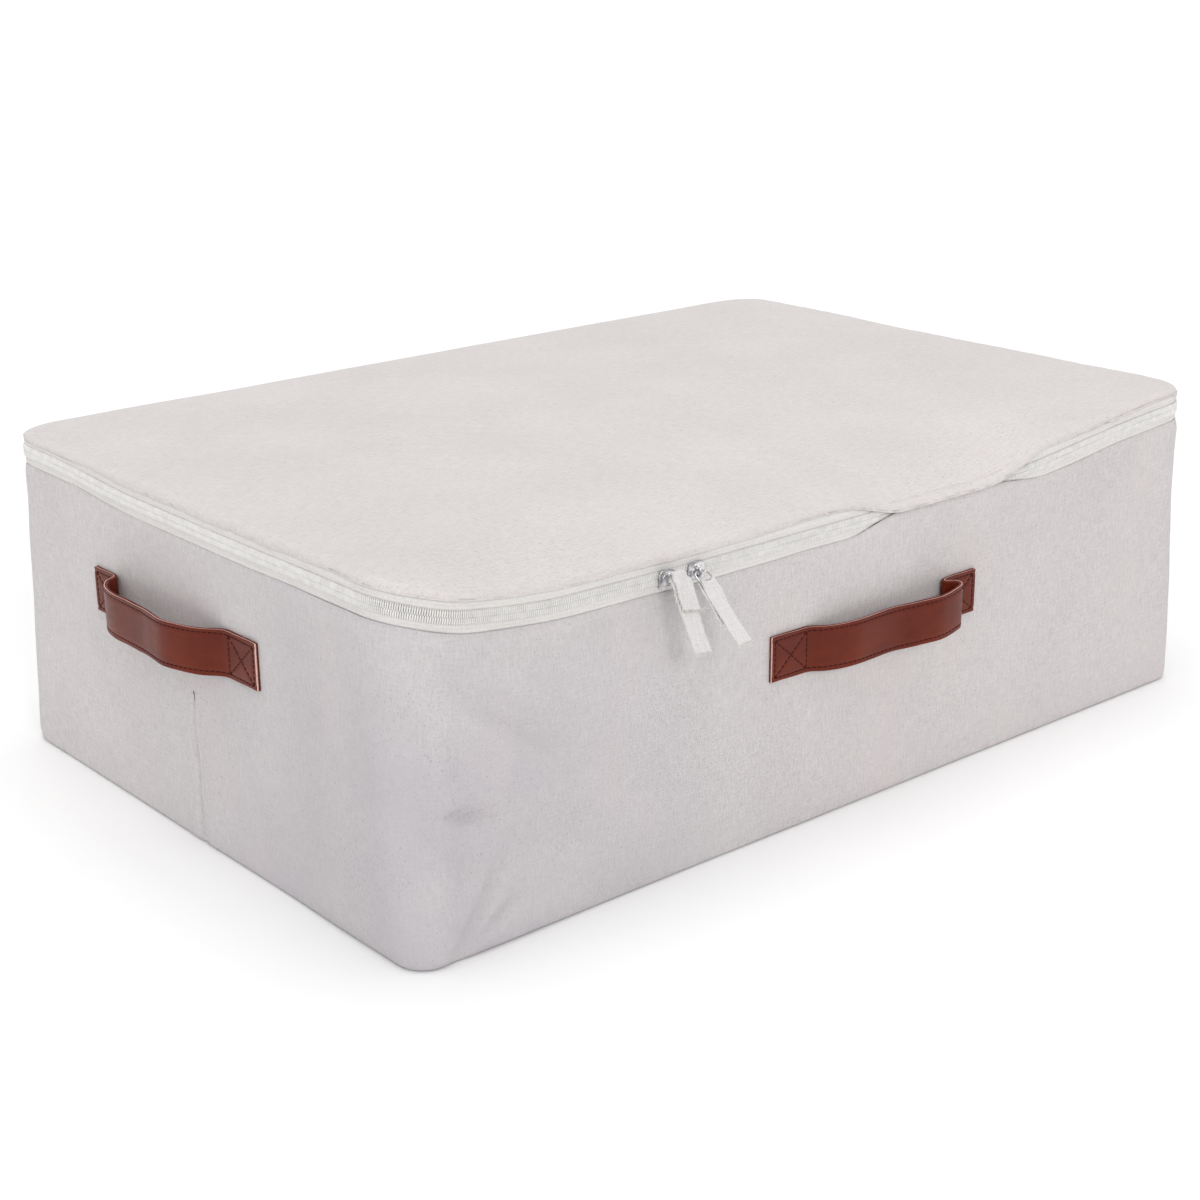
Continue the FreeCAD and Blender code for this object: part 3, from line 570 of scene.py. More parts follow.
def leather_material(name):
    """Smooth finished leather: fine pores, soft creases and darker patches of wear."""
    paint = Paint(name, Roughness=0.36, Specular_IOR_Level=0.2)
    cloth = paint.cloth()
    pores = paint.node("ShaderNodeTexVoronoi", {
        "Vector": paint.scaled(cloth, 1100, 1100), "Scale": 1.0,
        "Randomness": 1.0}).outputs["Distance"]
    creases = paint.noise(cloth, (160, 420), 4.0, 0.65)
    patches = paint.noise(cloth, (24, 50), 3.0, 0.6)
    tone = paint.total((creases, 0.3), (patches, 0.7))
    base = paint.blend(paint.spread(tone, 0.32, 0.68), LEATHER_DARK, LEATHER_LIGHT)
    pore_dark = paint.spread(pores, 0.05, 0.3, 0.3, 0.0)
    paint.colour(paint.blend(pore_dark, base, LEATHER_PORE))
    paint.rough(paint.spread(creases, 0.3, 0.7, 0.3, 0.44))
    paint.bump(paint.total((pores, 0.7), (creases, 1)), 0.06 * MM, 0.4)
    return paint.material


def raw_edge_material(name):
    """Cut edge of the leather: pale and fibrous."""
    paint = Paint(name, Roughness=0.8)
    fibres = paint.noise(paint.place(), (1400, 1400, 1400), 3.0, 0.7)
    paint.two_tones(fibres, rgb(212, 162, 150), rgb(244, 210, 200))
    paint.bump(fibres, 0.08 * MM, 0.6)
    return paint.material


def nickel_material(name):
    """Polished nickel with fine scratches and a few duller spots."""
    paint = Paint(name, Metallic=1.0, Roughness=0.12)
    place = paint.place()
    scratches = paint.noise(place, (1500, 200, 1500))
    spots = paint.noise(place, (190, 190, 190))
    paint.two_tones(spots, rgb(160, 160, 164), rgb(226, 225, 226), 0.38, 0.6)
    paint.rough(paint.spread(scratches, 0.3, 0.7, 0.14, 0.28))
    paint.bump(scratches, 0.01 * MM, 0.2)
    return paint.material


def coil_material(name):
    """Satin nylon of the zipper's coil."""
    paint = Paint(name, Roughness=0.5, Specular_IOR_Level=0.35)
    tone = paint.noise(paint.place(), (220, 220, 220))
    paint.two_tones(tone, rgb(228, 226, 223), rgb(241, 239, 236))
    paint.rough(paint.spread(tone, 0.3, 0.7, 0.38, 0.55))
    return paint.material


def card_material(name):
    """Grey-brown pressed board with specks and a fibrous face."""
    paint = Paint(name, Roughness=0.9)
    place = paint.place()
    fibre = paint.noise(place, (90, 600, 600), 4.0, 0.7)
    speck = paint.noise(place, (900, 900, 900), 1.0)
    base = paint.blend(paint.spread(fibre, 0.3, 0.7), rgb(156, 132, 102),
                       rgb(190, 166, 132))
    paint.colour(paint.blend(paint.spread(speck, 0.66, 0.8, 0, 0.5), base,
                             rgb(92, 74, 56)))
    paint.bump(fibre, 0.15 * MM, 0.5)
    return paint.material


CANVAS_LIGHT = rgb(228, 223, 222)
CANVAS_SHADE = rgb(192, 187, 186)
# painted shade for the walls' lower part and near corner
CANVAS_PAINTED_SHADE = rgb(187, 184, 190)
WARM_PATCH = rgb(215, 203, 204)
FLECK = rgb(140, 132, 129)
LEATHER_LIGHT = rgb(111, 41, 20)
LEATHER_DARK = rgb(87, 27, 13)
LEATHER_PORE = rgb(60, 18, 11)
WALL_CANVAS = canvas_material("wall_canvas", CANVAS_LIGHT, CANVAS_SHADE, FLECK, 1,
                              painted_shade=CANVAS_PAINTED_SHADE)
LID_CANVAS = canvas_material("lid_canvas", rgb(228, 222, 221), rgb(203, 197, 196), FLECK, 0,
                             0.5)
PULL_CANVAS = canvas_material("pull_canvas", rgb(234, 231, 231), rgb(202, 199, 198),
                              FLECK, 1, 0.2, 0.6 * MM)
LINING_CLOTH = canvas_material("lining_cloth", rgb(240, 237, 230), rgb(228, 224, 216),
                               rgb(200, 194, 184), 1, 0.15, 0.5 * MM)
WEBBING = ribbed_material("webbing", rgb(226, 221, 212), rgb(196, 190, 180), 1.2 * MM)
ZIP_TAPE = ribbed_material("zip_tape", rgb(235, 232, 230), rgb(219, 216, 214), 0.9 * MM)
COIL = coil_material("coil_nylon")
LEATHER = leather_material("leather_face")
RAW_EDGE = raw_edge_material("leather_edge")
DARK_THREAD = thread_material("dark_thread", rgb(78, 27, 22), rgb(44, 14, 12))
# the side seams' thread is darker than the thread's own colour: painted shade of the crease it
# lies in
SEAM_THREAD_AND_SHADE = thread_material("seam_thread", rgb(104, 94, 90), rgb(68, 60, 57))
PALE_THREAD = thread_material("pale_thread", rgb(240, 237, 231), rgb(214, 210, 203))
NICKEL = nickel_material("nickel")
CARD = card_material("pressed_board")


def finish_piece(obj, body, slot, *nodes):
    """Ride on a body and stand for CAD nodes. slot is not used."""
    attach(obj, body)
    if nodes:
        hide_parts(*nodes)
    return obj


# ---------------------------------------------------------------- handle shape

LAYER = 1.15 * MM
PATCH = 26 * MM
STITCH_EDGE = 2.2 * MM

# How far the strap's back stands off the wall: (place along the wall, stand-off) in mm
FRONT_BOW = [(-67.5, 0), (-54, 0), (-44, 0), (-39.5, 0.6), (-36, 2.4), (-32, 5.2),
             (-22, 8.4), (-12, 10.3), (0, 10.0), (12, 9.8), (23, 10.6), (36, 13.6),
             (48, 16.0), (58, 15.4), (64.5, 14.2), (68.8, 12.8), (71.2, 10.2), (70.8, 7.8),
             (68.4, 6.3), (66.4, 4.7), (65.8, 2.9), (67, 1.0), (69.6, 0.15), (74, 0), (83, 0),
             (95.5, 0)]
SIDE_BOW = [(-72, 0), (-60, 0), (-48, 0), (-43, 0.6), (-38, 3.2), (-30, 9), (-20, 13.8),
            (-8, 17.0), (4, 16.6), (16, 15.6), (32, 15.4), (48, 15.2), (59, 13.4),
            (66, 9.6), (69.4, 6), (70.2, 2.6), (72.6, 0.4), (77, 0), (86, 0), (96, 0)]


def spline(knots, step):
    """Smooth line through knots, with points at equal distances."""
    knots = np.asarray(knots, float)
    ends = np.concatenate([[2 * knots[0] - knots[1]], knots, [2 * knots[-1] - knots[-2]]])
    dense = []
    for a, b, c, d in zip(ends, ends[1:], ends[2:], ends[3:]):
        for t in np.linspace(0, 1, 12, endpoint=False):
            dense.append(0.5 * (2 * b + (c - a) * t + (2 * a - 5 * b + 4 * c - d) * t ** 2
                                + (3 * b - a - 3 * c + d) * t ** 3))
    dense.append(knots[-1])
    dense = np.array(dense)
    length = run_along(dense)
    count = int(round(length[-1] / step)) + 1
    line = at_length(length, dense, np.linspace(0, length[-1], count))
    for _ in range(4):
        line[1:-1] = line[1:-1] * 0.5 + (line[:-2] + line[2:]) * 0.25
    return line


class Handle:
    """Strap on one wall: its line in plan, and the way from that line to the frame."""

    def __init__(self, wall, bow, lift=0.0):
        low, high = (corner.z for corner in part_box(f"{wall}_handle_strap"))
        self.wall = wall
        self.lift = lift
        self.line = spline(np.array(bow) * MM, 0.9 * MM)
        step = np.gradient(self.line, axis=0)
        step /= np.linalg.norm(step, axis=1)[:, None]
        self.normal = np.column_stack([-step[:, 1], step[:, 0]])
        self.length = run_along(self.line)
        self.middle_z = (low + high) / 2
        self.half = (high - low) / 2
        self.total = self.length[-1]
        self.reach = self.half - STITCH_EDGE
        self.patches = (bow[0][0] * MM + PATCH / 2, bow[-1][0] * MM - PATCH / 2)

    def world(self, along, out, z):
        """Points in the frame from distances along the wall, outwards and up."""
        along, out, z = np.broadcast_arrays(along, out, z)
        z = z + self.middle(along)
        if self.wall == "front":
            return np.stack([along, -HALF_Y - out, z], -1)
        side = -1 if self.wall == "left" else 1
        return np.stack([side * (HALF_X + out), along, z], -1)

    def middle(self, along):
        """Height of the strap's middle: its far end may sit a little higher."""
        return self.middle_z + self.lift * smooth(along, 20 * MM, 85 * MM)

    def sewn_share(self, points):
        """1 under the two sewn ends and 0 away from them."""
        x, y, z = points.T
        along = x if self.wall == "front" else y
        out = {"front": -y - HALF_Y, "left": -x - HALF_X, "right": x - HALF_X}[self.wall]
        share = np.zeros(len(points))
        for centre in self.patches:
            past = np.maximum(np.abs(along - centre) - PATCH / 2,
                              np.abs(z - self.middle(along)) - self.half)
            share = np.maximum(share, 1 - smooth(past, 0.5 * MM, 7 * MM))
        return share * (np.abs(out) < 4 * MM)


HANDLES = (Handle("front", FRONT_BOW, 2.6 * MM), Handle("left", SIDE_BOW),
           Handle("right", SIDE_BOW))


# ----------------------------------------------------------------- wall canvas

# Soft dents and ridges of the front wall: from and to as (x, z), width, depth, all in mm
FRONT_CREASES = [
    ((-284, 150), (-204, 96), 8, -5.6),
    ((-264, 152), (-212, 118), 6.5, 3.4),
    ((-286, 82), (-252, 73), 3.2, -4.6),
    ((-284, 91), (-244, 82), 5, 2.6),
    ((-292, 66), (-250, 40), 8, -2.6),
    ((-279, 2), (-250, 44), 3.8, -4.6),
    ((-276, 2), (-238, 26), 3.2, -4.2),
    ((-268, 6), (-254, 16), 4, 2.4),
    ((-272, 30), (-252, 56), 5, 2.4),
    ((-176, 150), (-170, 70), 8, -1.6),
    ((-60, 152), (-40, 128), 9, 1.2),
    ((150, 156), (210, 120), 12, -1.4),
    ((230, 160), (262, 60), 9, 1.2),
]


def gap_to(x, z, start, end):
    """Distance of points from a straight piece of line, and how far along it they are."""
    way = np.subtract(end, start)
    share = np.clip(((x - start[0]) * way[0] + (z - start[1]) * way[1]) / (way @ way), 0, 1)
    return np.hypot(x - start[0] - share * way[0], z - start[1] - share * way[1]), share


def crease(x, z, start, end, width, depth):
    """Displacement of one dent that fades towards its ends."""
    gap, share = gap_to(x, z, np.array(start) * MM, np.array(end) * MM)
    return depth * MM * (0.35 + 0.65 * np.sin(np.pi * share)) * bump(gap, 0, width * MM)


def cloth_noise(points, scale, seed):
    """Smooth noise, about -1 to 1, at points; scale is the size of its features."""
    shift = Vector((seed * 7.31, seed * 3.17, seed * 5.53))
    return np.array([noise.noise(Vector(p) / scale + shift) for p in points])


LOOSE = 2.4 * MM
# sides of the box that each corner joins, and the height of its ridge in mm
CORNER_RIDGES = ((-1, -1, 3.2), (1, -1, 0.8), (-1, 1, 0.8), (1, 1, 0.8))
SEAM_Y = -3 * MM
SEAM_PULL = 2.2 * MM
SEAM_SWELL = 0.55 * MM
HINGE_ROOM = 0.35 * MM
FOOT_TUCK = 1.6 * MM
FOOT_ROUND = 2.4 * MM
GATHER_REACH = 9 * MM


def near_hinge(y):
    """1 along the back edge, where the open lid folds against the wall."""
    return smooth(y, HALF_Y - 25 * MM, HALF_Y - 6 * MM)


def wall_relief(points, hem_z):
    """How far the wall canvas stands out from its plain shape."""
    x, y, z = points.T
    relief = 0.9 * MM + 0.9 * MM * cloth_noise(points, 0.085, 1)
    relief += 0.35 * MM * cloth_noise(points, 0.028, 2)
    relief += LOOSE * smooth(-(x + y), 370 * MM, 450 * MM)
    front = y < -HALF_Y + 14 * MM
    for start, end, width, depth in FRONT_CREASES:
        relief += crease(x, z, start, end, width, depth) * front
    # the ridge that runs up the near corner, and the softer ones on the others
    for sign_x, sign_y, height in CORNER_RIDGES:
        corner_x = sign_x * (HALF_X - 17 * MM)
        corner_y = sign_y * (HALF_Y - 3 * MM)
        across = np.hypot(x - corner_x, y - corner_y)
        relief += height * MM * np.exp(-(across / (7 * MM)) ** 2) * smooth(z, 0, 40 * MM)
    # the seam in the middle of each short side pulls the canvas in
    on_end = np.abs(x) > HALF_X - 6 * MM
    pull = bump(y, SEAM_Y, 2.2 * MM)
    swell = bump(y, 5 * MM, 7 * MM) + bump(y, -12 * MM, 7 * MM)
    wander = 1 + 0.5 * np.sin(z / (9 * MM)) * np.sin(z / (23 * MM) + 1)
    wander *= 1 - smooth(z, SEAM_HIGH.z - 26 * MM, SEAM_HIGH.z - 4 * MM)
    relief += (-SEAM_PULL * pull + SEAM_SWELL * swell) * wander * on_end
    # small gathers under the zipper
    below = hem_z - z
    around = np.arctan2(y, x)
    gather = np.sin(around * 150 + 3 * np.sin(around * 23)) * np.sin(around * 61)
    relief += 0.3 * MM * gather * np.exp(-below / GATHER_REACH)
    relief *= smooth(z, -4 * MM, 10 * MM)
    relief *= 1 - near_hinge(y) * smooth(z, 135 * MM, 160 * MM)
    relief = np.where(below < 4 * MM, relief * np.clip(below / (4 * MM), 0.15, 1), relief)
    boarded = (z < BOARD_TOP + 3 * MM) & (z > 1 * MM)
    relief = np.where(boarded, np.maximum(relief, -0.6 * MM), relief)
    for handle in HANDLES:
        sewn = handle.sewn_share(points)
        relief = relief * (1 - sewn) - 0.05 * MM * sewn
    return relief


def make_wall():
    """Rows from the rounded bottom edge up to the hem, which is turned in at the top."""
    foot = np.array([0, 0.35, 1.2, 2.4, 4.2, 6.5]) * MM
    heights = [np.full(COLUMNS, z) for z in foot]
    heights += [foot[-1] + (WALL_HEM - foot[-1]) * share for share in np.linspace(0, 1, 56)[1:]]
    rows = []
    outs = []
    for z in heights:
        mean = float(np.mean(z))
        xy, out = plan_ring(0, corner_radius(mean))
        tuck = FOOT_TUCK * (1 - min(mean / FOOT_ROUND, 1)) ** 2
        rows.append((xy - out * tuck, z, mean))
        outs.append(out)
    top_xy = rows[-1][0]
    rows.append((top_xy - outs[-1] * 0.5 * MM, rows[-1][1] + 0.35 * MM, rows[-1][2]))
    outs.append(outs[-1])
    obj = ring_sheet("wall_canvas", rows, WALL_CANVAS)
    points = points_of(obj)
    relief = wall_relief(points, np.tile(WALL_HEM, len(rows)))
    points[:, :2] += np.concatenate(outs) * relief[:, None]
    set_points(obj, points)
    thicken(obj, CANVAS)
    finish_piece(obj, "box", "canvas", "wall_fabric")


make_wall()


# ------------------------------------------------------------------------- lid

LID_ROUND = 6.8 * MM
DOME = 1.4 * MM
SAG_REACH = 52 * MM
LID_DROP = 3.0 * MM
HEM_GATHER = 0.2 * MM
LIP = 0.9 * MM
LIP_PLACE = (-287 * MM, -191 * MM)
LIP_REACH = 26 * MM
COVER_LIP = 1.4 * MM


def rim_sag(x, y):
    """How far the lid's rim lies below the plain top."""
    return (ZIP_SIDE - ZIP_FRONT) * zip_dip(x, y) + (LID_EDGE + LID_OVERLAP) * covered(x, y)


# along the rim: sag, slope of the top, height of the hem, size of the rounding, and where
# the rounding ends and the flat top starts
RIM_SAG = rim_sag(*RING.T)
RIM_SLOPE = np.arctan(RIM_SAG / SAG_REACH)
RIM_HEM = np.minimum(ZIP_Z + LID_GAP, TOP - RIM_SAG - LID_DROP)
RIM_EDGE = np.minimum((TOP - RIM_SAG - RIM_HEM) * 0.97, LID_ROUND)
RIM_END = RING[:, 1] + RIM_EDGE * (1 - np.sin(RIM_SLOPE))


def lid_sag(x, y):
    """How far the soft front of the lid hangs down towards the dip of the zipper."""
    rim_end = np.interp(x, RING[:GRID_X + 1, 0], RIM_END[:GRID_X + 1])
    return rim_sag(x, y) * np.exp(-np.maximum(y - rim_end, 0) / SAG_REACH)


def lid_relief(points):
    """How far the lid's canvas stands off its plain shape."""
    x, y, _ = points.T
    dome = np.clip(1 - (x / HALF_X) ** 4, 0, 1) * np.clip(1 - (y / HALF_Y) ** 4, 0, 1)
    relief = DOME * dome + 0.5 * MM * cloth_noise(points, 0.11, 5)
    relief += 0.25 * MM * cloth_noise(points, 0.035, 6)
    # small gathers along the hem
    edge = np.minimum(HALF_X - np.abs(x), HALF_Y - np.abs(y))
    around = np.arctan2(y, x)
    gather = np.sin(around * 120 + 2 * np.sin(around * 17)) * np.sin(around * 47)
    relief += HEM_GATHER * gather * np.exp(-np.maximum(edge, 0) / GATHER_REACH)
    hinge = near_hinge(y)
    return relief * (1 - hinge) - HINGE_ROOM * hinge


def coons_patch(ring):
    """Grid inside a ring of points that starts at the front left corner."""
    front = ring[:GRID_X + 1]
    right = ring[GRID_X:GRID_X + GRID_Y + 1]
    back = ring[GRID_X + GRID_Y:2 * GRID_X + GRID_Y + 1][::-1]
    left = ring[np.arange(COLUMNS, COLUMNS - GRID_Y - 1, -1) % COLUMNS]
    u = np.linspace(0, 1, GRID_X + 1)[None, :, None]
    v = np.linspace(0, 1, GRID_Y + 1)[:, None, None]
    corners = ((1 - u) * (1 - v) * front[0] + u * (1 - v) * front[-1]
               + (1 - u) * v * back[0] + u * v * back[-1])
    return ((1 - v) * front[None] + v * back[None] + (1 - u) * left[:, None]
            + u * right[:, None] - corners)


def grid_inside(ring, first, start):
    """Points and faces of a grid inside a ring whose own points begin at first. The new
    points will begin at start."""
    inner = coons_patch(ring)[1:-1, 1:-1].reshape(-1, 3)
    index = np.zeros((GRID_Y + 1, GRID_X + 1), int)
    index[1:-1, 1:-1] = start + np.arange(len(inner)).reshape(GRID_Y - 1, -1)
    index[0] = first + np.arange(GRID_X + 1)
    index[:, -1] = first + GRID_X + np.arange(GRID_Y + 1)
    index[-1] = first + GRID_X + GRID_Y + np.arange(GRID_X + 1)[::-1]
    index[:, 0] = first + np.arange(COLUMNS, COLUMNS - GRID_Y - 1, -1) % COLUMNS
    quads = np.stack([index[:-1, :-1], index[:-1, 1:], index[1:, 1:], index[1:, :-1]], -1)
    return inner, quads.reshape(-1, 4)


def closed_cap(name, rows, material, relief, underside=False, shape=None):
    """Sheet made of rings that get smaller, closed by a grid inside the last ring, and
    inside the first one too where it has an underside. shape moves that grid."""
    rings = np.concatenate([np.column_stack([xy, z]) for xy, z in rows])
    inner, top_faces = grid_inside(
        np.column_stack(rows[-1]), (len(rows) - 1) * COLUMNS, len(rings))
    if shape is not None:
        inner = shape(inner)
    points = np.concatenate([rings, inner])
    faces = [*grid_faces(len(rows), COLUMNS, True), *top_faces]
    if underside:
        inner, low_faces = grid_inside(np.column_stack(rows[0]), 0, len(points))
        points = np.concatenate([points, inner])
        faces += [*low_faces[:, ::-1]]
    # on the cloth the rounded edge is unrolled outwards
    uv = points[:, :2].copy()
    row_out = np.tile(RING_OUT, (len(rows), 1))
    drop = np.tile(rows[-1][1], len(rows)) - rings[:, 2]
    uv[:len(rings)] += row_out * drop[:, None] * 0.6
    obj = mesh_object(name, points, faces, material, uv)
    normals = np.zeros(len(points) * 3)
    obj.data.vertices.foreach_get("normal", normals)
    set_points(obj, points + normals.reshape(-1, 3) * relief(points)[:, None])
    return obj


def make_lid():
    """Canvas of the lid: turned hem, skirt, rounded edge and soft top."""
    hem, edge = RIM_HEM, RIM_EDGE
    centre = TOP - RIM_SAG - edge * np.cos(RIM_SLOPE)
    # the hem stands off the tape round the near corner, and off the wall that it covers
    near = np.hypot(RING[:, 0] - LIP_PLACE[0], RING[:, 1] - LIP_PLACE[1])
    lip = LIP * np.exp(-(near / LIP_REACH) ** 2) + COVER_LIP * COVER
    rows = [(RING - RING_OUT * (0.7 * MM - lip)[:, None], hem + 0.5 * MM),
            (RING - RING_OUT * (0.15 * MM - lip)[:, None], hem),
            (RING + RING_OUT * lip[:, None] * 0.9, hem + (centre - hem) * 0.5 + 0.1 * MM)]
    for share in np.linspace(0.05, 1, 12):
        angle = share * (math.pi / 2 - RIM_SLOPE)
        inset = edge * (1 - np.cos(angle)) - lip * (1 - share) ** 2 * 0.8
        rows.append((RING - RING_OUT * inset[:, None], centre + edge * np.sin(angle)))
    obj = closed_cap("lid_canvas", rows, LID_CANVAS, lid_relief, shape=hung(TOP))
    thicken(obj, CANVAS)
    finish_piece(obj, "lid", "canvas", "lid_fabric")


def hung(height):
    """Way to lower points of a flat sheet at that height as the lid's front hangs."""
    def lowered(points):
        points[:, 2] = height - lid_sag(points[:, 0], points[:, 1])
        return points
    return lowered


make_lid()


# ---------------------------------------------------------------------- zipper

def zip_columns():
    """Columns of the ring that carry the zipper. They run round from its end at one back
    corner, past the front, to its end at the other."""
    held = RING[:, 1] < ZIP_END
    first = np.flatnonzero(held & ~np.roll(held, 1))[0]
    order = (first + np.arange(COLUMNS)) % COLUMNS
    return order[held[order]]


def open_band(name, rows, material, columns):
    """Strip along the zipper from rows of (inset, height above the zipper line)."""
    points = []
    uv = []
    length = run_along(RING[columns])
    for inset, rise in rows:
        points.append(zip_line(columns, inset, rise)[0])
        uv.append(np.column_stack([length, np.broadcast_to(rise, COLUMNS)[columns]]))
    faces = grid_faces(len(rows), len(columns), False)
    return mesh_object(name, np.concatenate(points), faces, material, np.concatenate(uv))


def zip_line(columns, inset, rise):
    """Points and outward directions along the zipper."""
    xy = (RING - RING_OUT * (inset + COVERED_TUCK * COVER)[:, None])[columns]
    return np.column_stack([xy, (ZIP_Z + rise)[columns]]), OUTWARD[columns]


def wave_out(obj, columns, height, scale, seed):
    """Give a band along the zipper soft waves."""
    points = points_of(obj)
    out = np.tile(OUTWARD[columns], (len(points) // len(columns), 1))
    set_points(obj, points + out * (height * cloth_noise(points, scale, seed))[:, None])


COIL_HEIGHT = 3.3 * MM
COIL_PITCH = 1.15 * MM
TOOTH = 0.42 * MM
# across the tape: share of its width from the coil to the hem, and inset in mm
TAPE_SECTION = ((0.08, 0.75), (0.16, 0.7), (0.28, 0.65), (0.38, 0.6), (0.46, 0.42),
                (0.56, 0.3), (0.68, 0.3), (0.8, 0.4), (0.88, 0.75), (1.0, 1.35))


def tooth_template(up):
    """One turn of the coil: a bar from its stitched root to its head, bent to the tape at
    both ends. x runs along the zipper, y up and z outwards."""
    spine = [(3.3, -0.25), (3.2, 0.3), (2.5, 0.5), (0.7, 0.55), (0.28, 0.35), (0.2, -0.2)]
    sides = 6
    points = []
    for number, (rise, out) in enumerate(spine):
        wide = TOOTH * (1.2 if number in (3, 4) else 1.0)
        before = np.array(spine[max(number - 1, 0)])
        after = np.array(spine[min(number + 1, len(spine) - 1)])
        way = (after - before) / np.linalg.norm(after - before)
        across = np.array([-way[1], way[0]])
        for k in range(sides):
            a = 2 * math.pi * k / sides
            y, z = np.array([rise, out]) * MM + across * math.sin(a) * TOOTH
            points.append((math.cos(a) * wide, y * up, z))
    return points, capped_faces(len(spine), sides)


def make_zip_half(side, body, up, columns):
    """Tape, coil and stitch lines of one half. up is 1 on the lid and -1 on the box."""
    reach = np.maximum((LID_GAP if up > 0 else WALL_GAP) + 1.2 * MM, COIL_HEIGHT + 1.2 * MM)
    if up > 0:
        reach = np.minimum(reach, TOP - RIM_SAG - ZIP_Z - LID_DROP + 1.0 * MM)
    rows = [(inset * MM, up * share * reach) for share, inset in TAPE_SECTION][::up]
    tape = open_band(f"{side}_tape", rows, ZIP_TAPE, columns)
    wave_out(tape, columns, 0.12 * MM, 0.012, 8 + up)
    thicken(tape, 0.5 * MM)
    finish_piece(tape, body, "zipper_tape", f"{side}_zipper_tape")

    path, normals = zip_line(columns, 0.2 * MM, 0.0)
    places = stitch_places(path, normals, COIL_PITCH)
    shift = COIL_PITCH / 2 * (up > 0)
    places = [np.column_stack([p[:, :3], p[:, 3] + p[:, 0] * shift]) for p in places]
    template, faces = tooth_template(up)
    coil = scatter(f"{side}_coil", template, faces, places, COIL)
    finish_piece(coil, body, "zipper_coil", f"{side}_zipper_coil")

    # two lines of thread: one holds the coil to the tape, one the canvas
    places = stitch_places(*zip_line(columns, -0.3 * MM, up * 2.4 * MM), 2.2 * MM)
    places += stitch_places(*zip_line(columns, 0.25 * MM, up * 5.6 * MM), 2.6 * MM)
    thread = sew(f"{side}_zip_thread", (2.0, 0.42, 0.4), places, PALE_THREAD)
    finish_piece(thread, body, "seam_thread")


ZIP_COLUMNS = zip_columns()
make_zip_half("upper", "lid", 1, ZIP_COLUMNS)
make_zip_half("lower", "box", -1, ZIP_COLUMNS)


# ------------------------------------------------------------- back of the box

def make_hinge():
    """Strip of canvas that closes the back between the zipper's two ends. It is sewn to
    the wall and to the lid and stands out a little where they meet."""
    columns = np.setdiff1d(np.arange(COLUMNS), ZIP_COLUMNS[2:-2])
    rows = [((1.15 - 0.5 * bump(rise, 0, 4)) * MM, rise * MM)
            for rise in np.linspace(-15, 7.5, 24)]
    obj = open_band("hinge_canvas", rows, WALL_CANVAS, columns)
    wave_out(obj, columns, 0.22 * MM, 0.02, 11)
    bake_thickness(obj, 0.6 * MM)
    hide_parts("hinge_strip")
    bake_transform(obj)


def bake_thickness(obj, thickness):
    """Solid sheet as plain mesh, with its thickness applied."""
    solid = final_mesh(thicken(obj, thickness))
    obj.modifiers.clear()
    obj.data = solid


def make_back_stitches():
    """Stitch rows that hold the hinge canvas: on the box below, on the lid above."""
    columns = np.setdiff1d(np.arange(COLUMNS), ZIP_COLUMNS[1:-1])
    for name, body, rise, inset in (("hinge_seam_lower", "box", -9.6, -0.1),
                                    ("hinge_seam_upper", "lid", 8.4, HINGE_ROOM / MM)):
        places = stitch_places(*zip_line(columns, inset * MM, rise * MM), 3.2 * MM)
        finish_piece(sew(name, (2.4, 0.5, 0.45), places, PALE_THREAD), body, "seam_thread")


make_hinge()
make_back_stitches()


# ---------------------------------------------------------------------- inside

def make_linings():
    """Lining of the walls and the floor, canvas under the box, lining and board of the lid."""
    low = LINING_LOW.z
    top = WALL_HEM - 0.5 * MM
    rows = []
    for share in np.linspace(0, 1, 30):
        z = low + (top - low) * share
        mean = float(np.mean(z))
        rows.append((plan_ring(LINING_INSET, corner_radius(mean))[0], z, mean))
    wall = ring_sheet("wall_lining_cloth", rows, LINING_CLOTH)
    points = points_of(wall)
    out = np.tile(RING_OUT, (len(rows), 1))
    lift = 0.3 * MM + 0.25 * MM * cloth_noise(points, 0.05, 14)
    above_board = smooth(points[:, 2], BOARD_TOP, BOARD_TOP + 18 * MM)
    lift += above_board * 0.4 * MM * cloth_noise(points, 0.016, 15)
    points[:, :2] -= out * lift[:, None]
    set_points(wall, points)
    thicken(wall, 0.5 * MM, 1.0)
    finish_piece(wall, "box", "lining", "wall_lining")

    sheets = (
        (flat_sheet("bottom_lining_cloth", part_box("bottom_lining")[1].z - 0.05 * MM,
                    LINING_INSET, LINING_CLOTH, 0, 0),
         0.5, "box", "lining", "bottom_lining"),
        (flat_sheet("bottom_canvas", 0.95 * MM, 1.2 * MM, WALL_CANVAS, -0.05 * MM, 0.03 * MM),
         0.85, "box", "canvas", "bottom_fabric"),
        (lid_layer("lid_lining_cloth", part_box("lid_lining")[1].z - 0.1 * MM, 5 * MM,
                   LINING_CLOTH, -0.12 * MM),
         0.5, "lid", "lining", "lid_lining"),
        (lid_layer("lid_card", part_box("lid_board")[1].z - 0.1 * MM, 7 * MM, CARD, 0.02 * MM),
         1.9, "lid", "board", "lid_board"))
    for sheet, thickness, body, slot, node in sheets:
        thicken(sheet, thickness * MM)
        finish_piece(sheet, body, slot, node)


def flat_sheet(name, height, inset, material, shift, wave):
    """Level sheet at the bottom of the box."""
    rows = [(plan_ring(inset, corner_radius(0))[0], np.full(COLUMNS, height))]
    return closed_cap(name, rows, material,
                      lambda points: wave * cloth_noise(points, 0.05, 3) + shift)


def lid_layer(name, height, inset, material, wave):
    """Sheet under the lid's canvas that hangs down at the front as the canvas does."""
    xy, _ = plan_ring(inset, TOP_RADIUS)
    return closed_cap(name, [(xy, height - lid_sag(*xy.T))], material,
                      lambda points: -0.1 * MM + wave * cloth_noise(points, 0.06, 16),
                      shape=hung(height))


